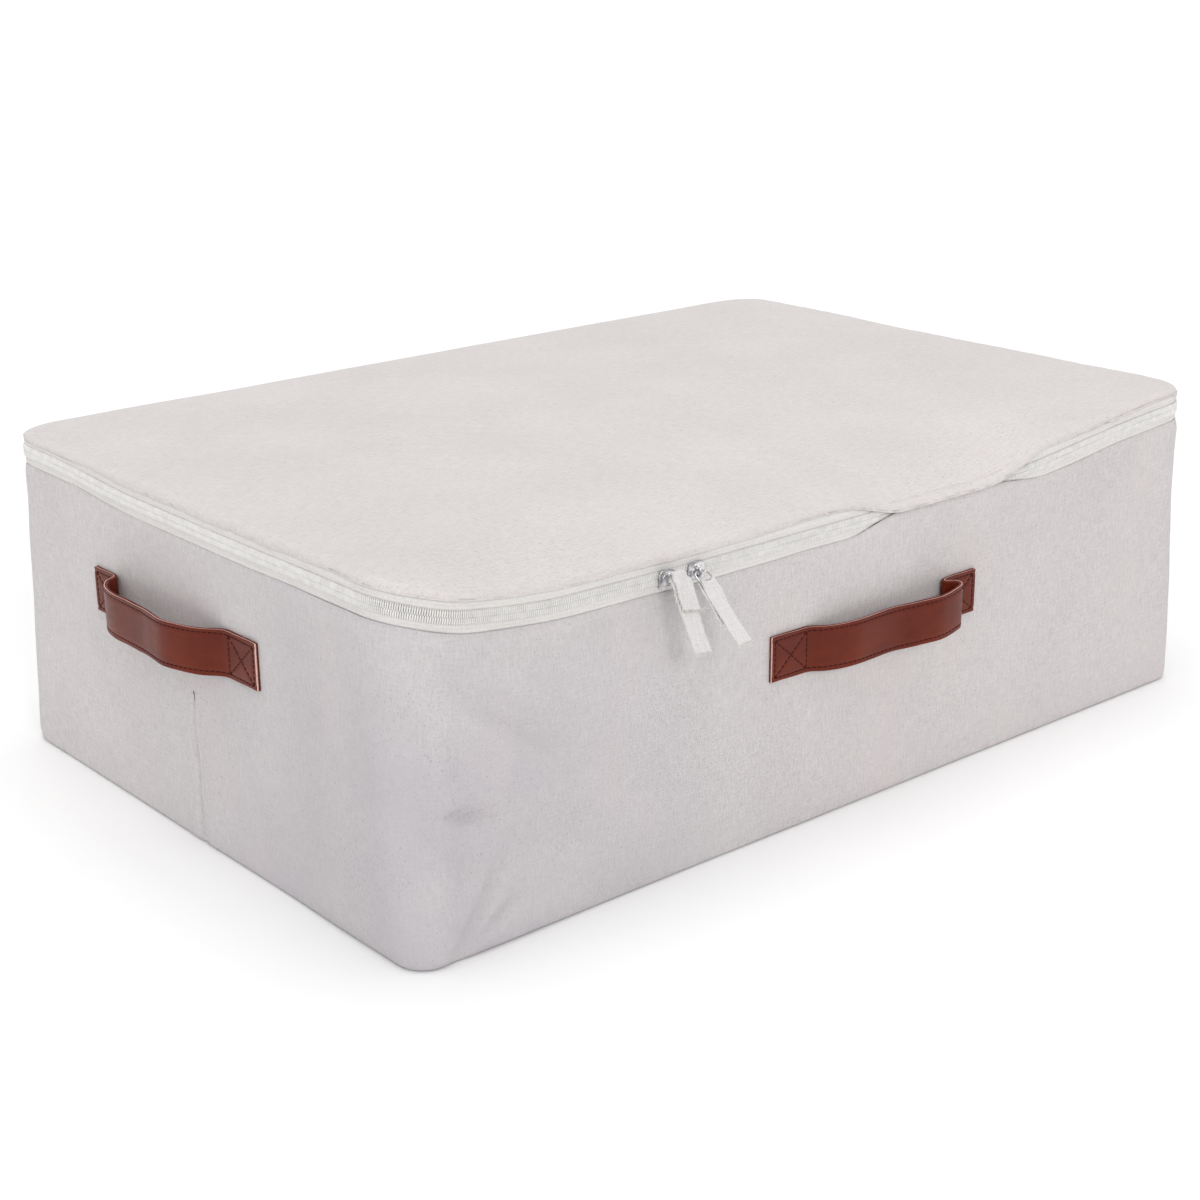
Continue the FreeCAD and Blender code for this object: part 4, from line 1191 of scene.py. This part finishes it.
def make_base_board():
    """Loose board wrapped in lining cloth, with a stitched border."""
    inset = HALF_X - BASE_HIGH.x
    thick = BASE_HIGH.z - BASE_LOW.z
    rows = []
    half = thick / 2
    middle = (BASE_HIGH.z + BASE_LOW.z) / 2
    for angle in np.radians(np.linspace(-90, 90, 11)):
        xy, _ = plan_ring(inset + half * (1 - math.cos(angle)), TOP_RADIUS)
        rows.append((xy, np.full(COLUMNS, middle + half * math.sin(angle))))

    def relief(points):
        top = smooth(points[:, 2], middle, BASE_HIGH.z)
        return 0.25 * MM * top * cloth_noise(points, 0.07, 18) - 0.1 * MM

    board = closed_cap("base_board_cover", rows, LINING_CLOTH, relief, True)
    finish_piece(board, "base_board", "base_board", "base_board")
    xy, _ = plan_ring(inset + 9 * MM, TOP_RADIUS)
    line = np.column_stack([xy, np.full(COLUMNS, BASE_HIGH.z + 0.02 * MM)])
    line = np.concatenate([line, line[:1]])
    up = np.tile([0.0, 0.0, 1.0], (len(line), 1))
    thread = sew("base_board_stitches", (2.6, 0.5, 0.5), stitch_places(line, up, 3.6 * MM),
                 PALE_THREAD)
    finish_piece(thread, "base_board", "seam_thread")


make_linings()
make_base_board()
for board in ("front_board", "back_board", "left_board", "right_board"):
    frame["nodes"][board].data.materials.clear()
    frame["nodes"][board].data.materials.append(CARD)


# --------------------------------------------------------------------- handles

STITCH_PITCH = 3.1 * MM
EDGE_ROUND = 0.35 * MM
QUILT_DEPTH = 0.32 * MM


def patch_lines(handle):
    """Stitch lines on the two sewn ends: a square with a cross, as pairs of (s, z)."""
    reach = handle.reach
    lines = []
    for a, b in ((STITCH_EDGE, PATCH), (handle.total - PATCH, handle.total - STITCH_EDGE)):
        corners = [(a, -reach), (b, -reach), (b, reach), (a, reach)]
        lines += [(corners[n], corners[(n + 1) % 4]) for n in range(4)]
        lines += [(corners[0], corners[2]), (corners[1], corners[3])]
    return lines


def quilt(handle, s, z):
    """Dent of the leather along its stitch lines."""
    gap = np.abs(np.abs(z) - handle.reach)
    for line in patch_lines(handle):
        gap = np.minimum(gap, gap_to(s, z, *line)[0])
    return -QUILT_DEPTH * bump(gap, 0, 0.9 * MM)


def strap_section(half, thickness):
    """Outline of a layer across the strap: (height, distance from the layer's middle)."""
    flat = half - EDGE_ROUND
    high = thickness / 2
    face = np.linspace(-flat, flat, 35)
    outer = [(z, high) for z in face]
    corner = np.radians([30, 60])
    top = [(flat + EDGE_ROUND * math.sin(a), high - EDGE_ROUND * (1 - math.cos(a)))
           for a in corner]
    top += [(half, high - EDGE_ROUND), (half, 0), (half, EDGE_ROUND - high)]
    top += [(flat + EDGE_ROUND * math.cos(a), -high + EDGE_ROUND * (1 - math.sin(a)))
            for a in corner]
    inner = [(z, -high) for z in face[::-1]]
    low = [(-z, d) for z, d in top[::-1]]
    return np.array(outer + top + inner + low)


def strap_layer(name, handle, middle, faced):
    """One leather layer swept along the handle's line."""
    section = strap_section(handle.half, LAYER * 0.97)
    stations = len(handle.line)
    sides = len(section)
    z = np.tile(section[:, 0], (stations, 1))
    s = np.tile(handle.length[:, None], (1, sides))
    depth = middle + np.tile(section[:, 1], (stations, 1))
    if faced:
        depth += quilt(handle, s, z) * (section[None, :, 1] > 0)
    along = handle.line[:, :1] + handle.normal[:, :1] * depth
    out = handle.line[:, 1:] + handle.normal[:, 1:] * depth
    # the cut edges are not quite straight
    wander = 0.25 * MM * np.sin(s / (13 * MM) + middle * 900)
    wander += 0.12 * MM * np.sin(s / (4.1 * MM))
    points = handle.world(along, out, z + wander).reshape(-1, 3)
    uv = np.stack([s, z + handle.half * 4 * (section[None, :, 1] < 0)], -1).reshape(-1, 2)
    obj = mesh_object(name, points, capped_faces(stations, sides), LEATHER, uv)
    obj.data.materials.append(RAW_EDGE)
    # the paint of the face wraps round the edge and leaves a pale line in the outer layer
    edge = (np.abs(section[:, 0]) > handle.half - 0.01 * MM) & faced
    edge_face = edge & np.roll(edge, -1)
    marks = np.concatenate([np.tile(edge_face, stations - 1), [faced, faced]])
    obj.data.polygons.foreach_set("material_index", marks.astype(int))
    return outward(obj)


def on_strap(handle, s, z, depth):
    """Points and outward directions on the strap at distances s along it."""
    along, out = at_length(handle.length, handle.line, s).T
    n_along, n_out = at_length(handle.length, handle.normal, s).T
    points = handle.world(along + n_along * depth, out + n_out * depth, z)
    tips = handle.world(along + n_along * (depth + MM), out + n_out * (depth + MM), z)
    normals = (tips - points) / MM
    return points, normals


def strap_stitches(handle):
    """Every stitch on the outer face: along both edges, and on the sewn ends."""
    face = 2 * LAYER - QUILT_DEPTH * 0.75
    lines = [((PATCH, z), (handle.total - PATCH, z)) for z in (-handle.reach, handle.reach)]
    lines += patch_lines(handle)
    places = []
    for (s0, z0), (s1, z1) in lines:
        count = max(int(math.hypot(s1 - s0, z1 - z0) / (0.5 * MM)), 4)
        share = np.linspace(0, 1, count)
        points, normals = on_strap(handle, s0 + (s1 - s0) * share, z0 + (z1 - z0) * share, face)
        places += stitch_places(points, normals, STITCH_PITCH)
    return sew(f"{handle.wall}_handle_thread", (2.4, 0.66, 0.55), places, DARK_THREAD, 8)


def webbing_squares(handle):
    """Reinforcement behind the canvas, under the two sewn ends."""
    margin = 2 * MM
    low_inset, high_inset = 1.1 * MM, 1.55 * MM
    cells = 14
    points = []
    uv = []
    faces = []
    for centre in handle.patches:
        for inset in (low_inset, high_inset):
            first = len(points)
            along, z = np.meshgrid(
                centre + np.linspace(-1, 1, cells) * (PATCH / 2 + margin),
                np.linspace(-1, 1, cells) * (handle.half + margin))
            wave = 0.04 * MM * np.sin(along / (1.7 * MM)) * np.sin(z / (1.9 * MM))
            points += [*handle.world(along, -inset + wave, z).reshape(-1, 3)]
            uv += [*np.stack([along, z], -1).reshape(-1, 2)]
            faces += [*grid_faces(cells, cells, False, first)]
        index = first - cells * cells + np.arange(cells * cells).reshape(cells, cells)
        rim = np.concatenate([index[0], index[1:, -1], index[-1, -2::-1], index[-2:0:-1, 0]])
        after = np.roll(rim, -1)
        faces += [*np.stack([rim, after, after + cells * cells, rim + cells * cells], -1)]
    return outward(mesh_object(f"{handle.wall}_handle_webbing", points, faces, WEBBING, uv))


def make_handles():
    """Two leather layers, stitches and reinforcement for each handle."""
    for handle in HANDLES:
        wall = handle.wall
        inner = strap_layer(f"{wall}_strap_inner", handle, LAYER / 2, False)
        outer = strap_layer(f"{wall}_strap_outer", handle, LAYER * 1.5, True)
        for piece, slot, node in ((inner, "leather", "backing"), (outer, "leather", "strap"),
                                  (strap_stitches(handle), "leather_thread", "stitching"),
                                  (webbing_squares(handle), "webbing", "reinforcement")):
            finish_piece(piece, "box", slot, f"{wall}_handle_{node}")


# section of the fold beside the seam: distance from the seam and height off the wall, mm
FOLD = [(0.25, -0.9), (0.3, 0.3), (0.7, 0.75), (1.3, 0.85), (2.0, 0.7), (3.0, 0.4), (4.4, 0.0),
        (6.0, -0.6)]
SEAM_TOP = SEAM_HIGH.z - 12 * MM


def make_side_seams():
    """A stitched valley, its thread darkened as painted shade of the crease, and the raised
    fold beside it, in the middle of each short side, from the strap down to the floor."""
    count = 90
    heights = np.linspace(SEAM_LOW.z, SEAM_TOP, count)
    sway = 0.35 * MM * np.sin(heights / (15 * MM)) + 0.2 * MM * np.sin(heights / (6 * MM))
    fade = smooth(heights, SEAM_TOP, SEAM_TOP - 12 * MM)
    hem = np.full(count, ZIP_SIDE - WALL_EDGE)
    places = []
    for side, wall in ((-1, "left"), (1, "right")):
        def on_wall(across, rise):
            y = SEAM_Y + sway - across
            level = wall_relief(np.column_stack([np.full(count, side * HALF_X), y, heights]), hem)
            return np.column_stack([side * (HALF_X + level + rise), y, heights])

        line = on_wall(0.0, 0.12 * MM)
        out = np.tile([float(side), 0.0, 0.0], (count, 1))
        places += stitch_places(line, out, 3.4 * MM)
        # fold: from the valley up over a soft ridge and back down to the wall
        points = [on_wall(across * MM, (rise * fade - 0.1) * MM) for across, rise in FOLD]
        uv = np.concatenate([rows[:, 1:] for rows in points])
        fold = mesh_object(f"{wall}_seam_fold", np.concatenate(points),
                           grid_faces(len(FOLD), count, False), WALL_CANVAS, uv)
        thicken(fold, 0.3 * MM, 0.0)
        finish_piece(fold, "box", "canvas")
    # nearly unbroken dark stitches: the thread and the painted shade of its crease
    seam = sew("side_seam_thread_and_shade", (3.4, 0.75, 0.6), places, SEAM_THREAD_AND_SHADE)
    finish_piece(seam, "box", "seam_thread", "side_seam_stitching")


make_handles()
make_side_seams()


# ------------------------------------------------------------ sliders and pulls

OUTER_FACE = 1.6 * MM
PLATE = 1.1 * MM
BAIL = 2.9 * MM


def solid_outline(name, outline, low_out, high_out, centre, bevel):
    """Plate with a rounded edge, from an outline of (x, z) round a centre."""
    count = len(outline)
    points = []
    for out in (low_out, high_out):
        points += [(centre[0] + x, -HALF_Y - out, centre[1] + z) for x, z in outline]
    faces = [list(range(count)), list(range(count, 2 * count))[::-1]]
    faces += [[k, (k + 1) % count, count + (k + 1) % count, count + k] for k in range(count)]
    obj = outward(mesh_object(name, points, faces, NICKEL))
    rounding = obj.modifiers.new("rounding", "BEVEL")
    rounding.width = bevel
    rounding.segments = 3
    rounding.limit_method = "ANGLE"
    return obj


def shield(half_x, half_z, narrow):
    """Outline of a slider plate: wide where the halves come in, narrow where they meet."""
    outline = []
    for sign_x, sign_z in ((1, 1), (-1, 1), (-1, -1), (1, -1)):
        tall = half_z if sign_x > 0 else half_z * narrow
        corner = min(half_x, tall) * 0.55
        quarter = np.radians(np.linspace(0, 90, 6))
        arc = [(half_x - corner + corner * math.cos(a), tall - corner + corner * math.sin(a))
               for a in quarter]
        if sign_x * sign_z < 0:
            arc = arc[::-1]
        outline += [(sign_x * x, sign_z * z) for x, z in arc]
    return outline


def joined(name, objects, material):
    """One mesh from several, with their modifiers applied."""
    work = bmesh.new()
    for obj in objects:
        work.from_mesh(final_mesh(obj))
    for obj in objects:
        bpy.data.objects.remove(obj)
    mesh = bpy.data.meshes.new(name)
    work.to_mesh(mesh)
    work.free()
    mesh.materials.clear()
    mesh.materials.append(material)
    mesh.polygons.foreach_set("material_index", [0] * len(mesh.polygons))
    mesh.polygons.foreach_set("use_smooth", [True] * len(mesh.polygons))
    return link(mesh, name)


def make_slider(side, facing):
    """Two plates round the coil, a rim above and below, and the bail. facing is the way
    the wide mouth points along the front."""
    low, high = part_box(f"{side}_slider")
    centre = ((low.x + high.x) / 2, (low.z + high.z) / 2)
    half_x = (high.x - low.x) / 2
    half_z = (high.z - low.z) / 2
    outline = [(x * facing, z) for x, z in shield(half_x, half_z, 0.8)]
    raised = [(x * 0.62, z * 0.58) for x, z in outline]
    base = OUTER_FACE + PLATE
    # outline, where it starts and ends outwards from the wall, and its edge's rounding
    plates = [(outline, OUTER_FACE, base, 0.42 * MM),
              (raised, base - 0.2 * MM, base + 0.35 * MM, 0.3 * MM),
              (outline, -3.1 * MM, -2.1 * MM, 0.3 * MM)]
    for sign in (-1, 1):
        rim = [(-half_x * 0.8, sign * half_z * 0.8), (half_x * 0.8, sign * half_z * 0.93),
               (half_x * 0.8, sign * (half_z * 0.93 - 0.7 * MM)),
               (-half_x * 0.8, sign * (half_z * 0.8 - 0.7 * MM))]
        plates.append(([(x * facing, z) for x, z in rim], 0.1 * MM, OUTER_FACE + 0.3 * MM,
                       0.2 * MM))
    post = [(math.cos(a) * 1.9 * MM, math.sin(a) * 0.55 * MM)
            for a in np.linspace(0, 2 * math.pi, 16, endpoint=False)]
    plates.append((post, -2.4 * MM, OUTER_FACE + 0.2 * MM, 0.1 * MM))
    parts = [solid_outline("plate", shape, start, end, centre, bevel)
             for shape, start, end, bevel in plates]
    arch = []
    for a in np.radians(np.linspace(-12, 192, 33)):
        arch.append((centre[0], -HALF_Y - base + 0.2 * MM - math.sin(a) * BAIL,
                     centre[1] + math.cos(a) * BAIL))
    parts.append(tube("arch", arch, 0.68 * MM, NICKEL, 14))
    slider = joined(f"{side}_slider_body", parts, NICKEL)
    finish_piece(slider, f"{side}_slider", "nickel", f"{side}_slider")


def make_ring(side):
    """Wire ring between the slider's bail and the ribbon."""
    hold = np.array(JOINTS[f"{side}_ring_lift"]["pos_m"])
    far = np.array(JOINTS[f"{side}_ribbon_lift"]["pos_m"])
    middle = (hold + far) / 2
    down = (far - hold) / 2
    across = np.array([np.linalg.norm(down), 0, 0])
    turns = np.linspace(0, 2 * math.pi, 72, endpoint=False)
    circle = middle + np.outer(np.cos(turns), down) + np.outer(np.sin(turns), across)
    ring = tube(f"{side}_ring", circle, 0.55 * MM, NICKEL, 14, closed=True)
    finish_piece(ring, f"{side}_pull_ring", "nickel", f"{side}_pull_ring")


class Ribbon:
    """Canvas strip folded over the ring: a long layer and a short one, in front of it or
    behind it. It stands out from the wall, turned by its swing."""

    LAYER = 0.6 * MM
    LOOP = 1.15 * MM
    BESIDE = 0.42 * MM
    BACK_SHIFT = -1.2 * MM
    NECK_SHARE = 0.78
    NECK = 4.5 * MM
    STRAND = 0.12 * MM
    RAGGED = 0.25 * MM
    EDGE_WANDER = 0.12 * MM
    RIDGE = 0.16 * MM
    WAVE = 0.4 * MM

    def __init__(self, side, seed, short_layer, short_share, short_slant, end_slant, twist):
        self.side = side
        self.short_layer = short_layer
        self.seed = seed
        self.twist = math.radians(twist)
        hold = np.array(JOINTS[f"{side}_ring_lift"]["pos_m"])
        self.far = np.array(JOINTS[f"{side}_ribbon_lift"]["pos_m"])
        self.ring_radius = np.linalg.norm(hold - self.far) / 2
        self.inward = (hold - self.far) / (2 * self.ring_radius)
        low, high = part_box(f"{side}_pull_ribbon")
        self.width = high.x - low.x
        self.swing, self.length = self.solve_swing(self.far[1] - low.y, self.far[2] - low.z)
        self.ends = {short_layer: (self.length * short_share, short_slant),
                     -short_layer: (self.length, end_slant)}

    def solve_swing(self, out, drop):
        """Swing and length of a strip 2 mm thick that reaches so far out and down."""
        half = 1.0 * MM
        swing = math.atan2(out, drop)
        for _ in range(20):
            swing = math.atan2(out - half * math.cos(swing), drop - half * math.sin(swing))
        return swing, math.hypot(out - half * math.cos(swing), drop - half * math.sin(swing))

    def at(self, down):
        """Offset from the ring, and outward direction, at a distance down the strip."""
        steps = (np.arange(40) + 0.5) / 40 * max(down, 0.0)
        turn = self.swing * (0.85 + 0.3 * steps / self.length)
        offset = np.array([0.0, -np.mean(np.sin(turn)), -np.mean(np.cos(turn))]) * down
        return offset, np.array([0.0, -math.cos(turn[-1]), math.sin(turn[-1])])

    def point(self, down, gap, across, shift=0.0):
        offset, out = self.at(down)
        turn = self.twist * smooth(down, 2 * MM, 14 * MM)
        wide = np.array([math.cos(turn), math.sin(turn), 0.0])
        narrow = self.NECK_SHARE + (1 - self.NECK_SHARE) * smooth(down, 0, self.NECK)
        x = across * narrow + shift
        round_wire = self.ring_radius - math.sqrt(max(self.ring_radius ** 2 - x ** 2, 0.0))
        round_wire *= 1 - smooth(down, 0, 5 * MM)
        return self.far + offset + wide * x + out * gap + self.inward * round_wire

    def layer_point(self, down, layer, across):
        """Point of a layer, 1 for the front and -1 for the back, with its slanting end."""
        end, slant = self.ends[layer]
        close = smooth(down, 0, self.NECK)
        gap = layer * (self.LOOP * (1 - close) + self.BESIDE * close)
        shift = self.BACK_SHIFT * close * (layer < 0)
        return self.point(down * (1 + slant * across / end), gap, across, shift)

    def build(self):
        """The folded strip as a grid: up the front, over the ring and down the back."""
        rows = [(down, 1) for down in np.linspace(self.ends[1][0], 0.6 * MM, 40)]
        rows += [(angle, 0) for angle in np.radians(np.linspace(15, 165, 9))]
        rows += [(down, -1) for down in np.linspace(0.6 * MM, self.ends[-1][0], 40)]
        across = np.linspace(-0.5, 0.5, 15) * self.width
        random = np.random.default_rng(self.seed)
        points = []
        uv = []
        travel = 0.0
        before = None
        for number, (value, layer) in enumerate(rows):
            cut = number in (0, len(rows) - 1)
            ragged = random.normal(0, self.RAGGED, len(across)) * cut
            edges = random.normal(0, self.EDGE_WANDER, 2)
            row = []
            for place, offset in enumerate(across):
                if place in (0, len(across) - 1):
                    offset = offset + edges[int(place > 0)]
                if layer == 0:
                    row.append(self.point(-self.LOOP * math.sin(value) * 0.9,
                                          self.LOOP * math.cos(value), offset))
                    continue
                spot = self.layer_point(value + ragged[place], layer, offset)
                _, out = self.at(value)
                ridge = self.RIDGE * bump(abs(offset), self.width / 2 - 1.3 * MM, 0.5 * MM)
                wave = self.WAVE * noise.noise(Vector((
                    offset * 170, value * 75, self.seed + layer * 4)))
                row.append(spot + out * (layer * ridge + wave * smooth(value, 0, 6 * MM)))
            middle = row[len(row) // 2]
            travel += 0 if before is None else np.linalg.norm(middle - before)
            before = middle
            points += row
            uv += [(offset, travel) for offset in across]
        faces = grid_faces(len(rows), len(across), False)
        strip = mesh_object(f"{self.side}_ribbon", points, faces, PULL_CANVAS, uv)
        return thicken(strip, self.LAYER, 0.0)

    def fray(self):
        """Loose threads at the two cut ends and along the back layer's sides."""
        paths = []
        random = np.random.default_rng(self.seed)
        for layer, (end, _) in self.ends.items():
            for across in np.linspace(-0.48, 0.48, 30) * self.width:
                start = self.layer_point(end - 0.8 * MM, layer, across)
                tip = self.layer_point(end + random.uniform(0.4, 1.7) * MM, layer, across)
                tip = tip + random.normal(0, 0.35 * MM, 3)
                paths.append([start, (start + tip) / 2 + random.normal(0, 0.12 * MM, 3), tip])
        for _ in range(60):
            layer = -self.short_layer if random.random() < 0.7 else self.short_layer
            down = random.uniform(0.2, 0.98) * self.ends[layer][0]
            edge = random.choice([-0.5, 0.5]) * self.width
            start = self.layer_point(down, layer, edge * 0.97)
            tip = self.layer_point(down + random.uniform(0.6, 2.4) * MM, layer,
                                   edge * random.uniform(1.06, 1.2))
            paths.append([start, (start + tip) / 2 + random.normal(0, 0.1 * MM, 3), tip])
        # long wisps at the end of the short layer
        for reach, fall in ((6.5, 1.4), (-2.6, 1.0), (4.0, 3.0)):
            start = self.layer_point(self.ends[self.short_layer][0] - 0.5 * MM,
                                     self.short_layer, math.copysign(0.45, reach) * self.width)
            tip = start + np.array([reach * MM, -0.6 * MM, -fall * MM])
            middle = (start + tip) / 2 + np.array([0, -0.4 * MM, 0.5 * MM])
            paths.append([start, middle, tip])
        strands = [tube("strand", path, self.STRAND, PALE_THREAD, 5) for path in paths]
        return joined(f"{self.side}_ribbon_fray", strands, PALE_THREAD)


# the left ribbon has its short layer in front and the right one behind
for ribbon in (
        Ribbon("left", seed=3, short_layer=1, short_share=0.47, short_slant=0.18,
               end_slant=0.11, twist=0),
        Ribbon("right", seed=11, short_layer=-1, short_share=0.62, short_slant=0.10,
               end_slant=0.04, twist=10)):
    side = ribbon.side
    make_slider(side, 1 if side == "right" else -1)
    make_ring(side)
    finish_piece(ribbon.build(), f"{side}_pull_ribbon", "pull_canvas", f"{side}_pull_ribbon")
    finish_piece(ribbon.fray(), f"{side}_pull_ribbon", "pull_canvas")


# -------------------------------------------------------------- studio and view

def make_floor():
    """Wide pale floor that fades into the background."""
    size = 40.0
    below = 0.3 * MM
    points = [(-size, -size, 0), (size, -size, 0), (size, size, 0), (-size, size, 0)]
    paint = Paint("studio_floor", Roughness=0.9)
    paint.shader.inputs["Base Color"].default_value = (0.98, 0.98, 0.98, 1)
    floor = mesh_object("studio_floor", points, [(0, 1, 2, 3)], paint.material)
    floor.location.z = -below


def soft_sun(name, source, strength, softness):
    """Wide, even light that comes from a direction."""
    light = bpy.data.lights.new(name, "SUN")
    light.energy = strength
    light.angle = math.radians(softness)
    link(light, name).rotation_euler = (-Vector(source)).to_track_quat("-Z", "Y").to_euler()


def make_studio():
    """White surroundings and three wide lights."""
    world = bpy.data.worlds.new("studio")
    world.use_nodes = True
    background = world.node_tree.nodes["Background"].inputs
    background["Color"].default_value = (1, 1, 1, 1)
    background["Strength"].default_value = 0.6
    bpy.context.scene.world = world
    bpy.context.scene.view_settings.view_transform = "Standard"
    soft_sun("key", (-0.3, -1.0, 0.55), 0.62, 18)
    soft_sun("left_fill", (-0.8, -0.1, 0.6), 0.3, 60)
    soft_sun("top_fill", (0.05, 0.05, 1.0), 1.1, 50)


CAMERA_PLACE = (-0.806, -0.9358, 0.4976)
CAMERA_ANGLES = (-40.204, 19.096, -0.5348)
CAMERA_LENS = 63.10


def make_camera():
    """Camera in front of the box's left corner, a little above it."""
    azimuth, elevation, roll = (math.radians(angle) for angle in CAMERA_ANGLES)
    back = Vector((math.sin(azimuth) * math.cos(elevation),
                   -math.cos(azimuth) * math.cos(elevation), math.sin(elevation)))
    right = Vector((math.cos(azimuth), math.sin(azimuth), 0))
    up = back.cross(right)
    local_x = math.cos(roll) * right + math.sin(roll) * up
    local_y = -math.sin(roll) * right + math.cos(roll) * up
    lens = bpy.data.cameras.new("camera")
    lens.lens = CAMERA_LENS
    lens.sensor_width = 36
    lens.clip_start = 0.05
    camera = link(lens, "camera")
    turn = Matrix((local_x, local_y, back)).transposed()
    camera.matrix_world = Matrix.Translation(CAMERA_PLACE) @ turn.to_4x4()
    bpy.context.scene.camera = camera


make_floor()
make_studio()
make_camera()
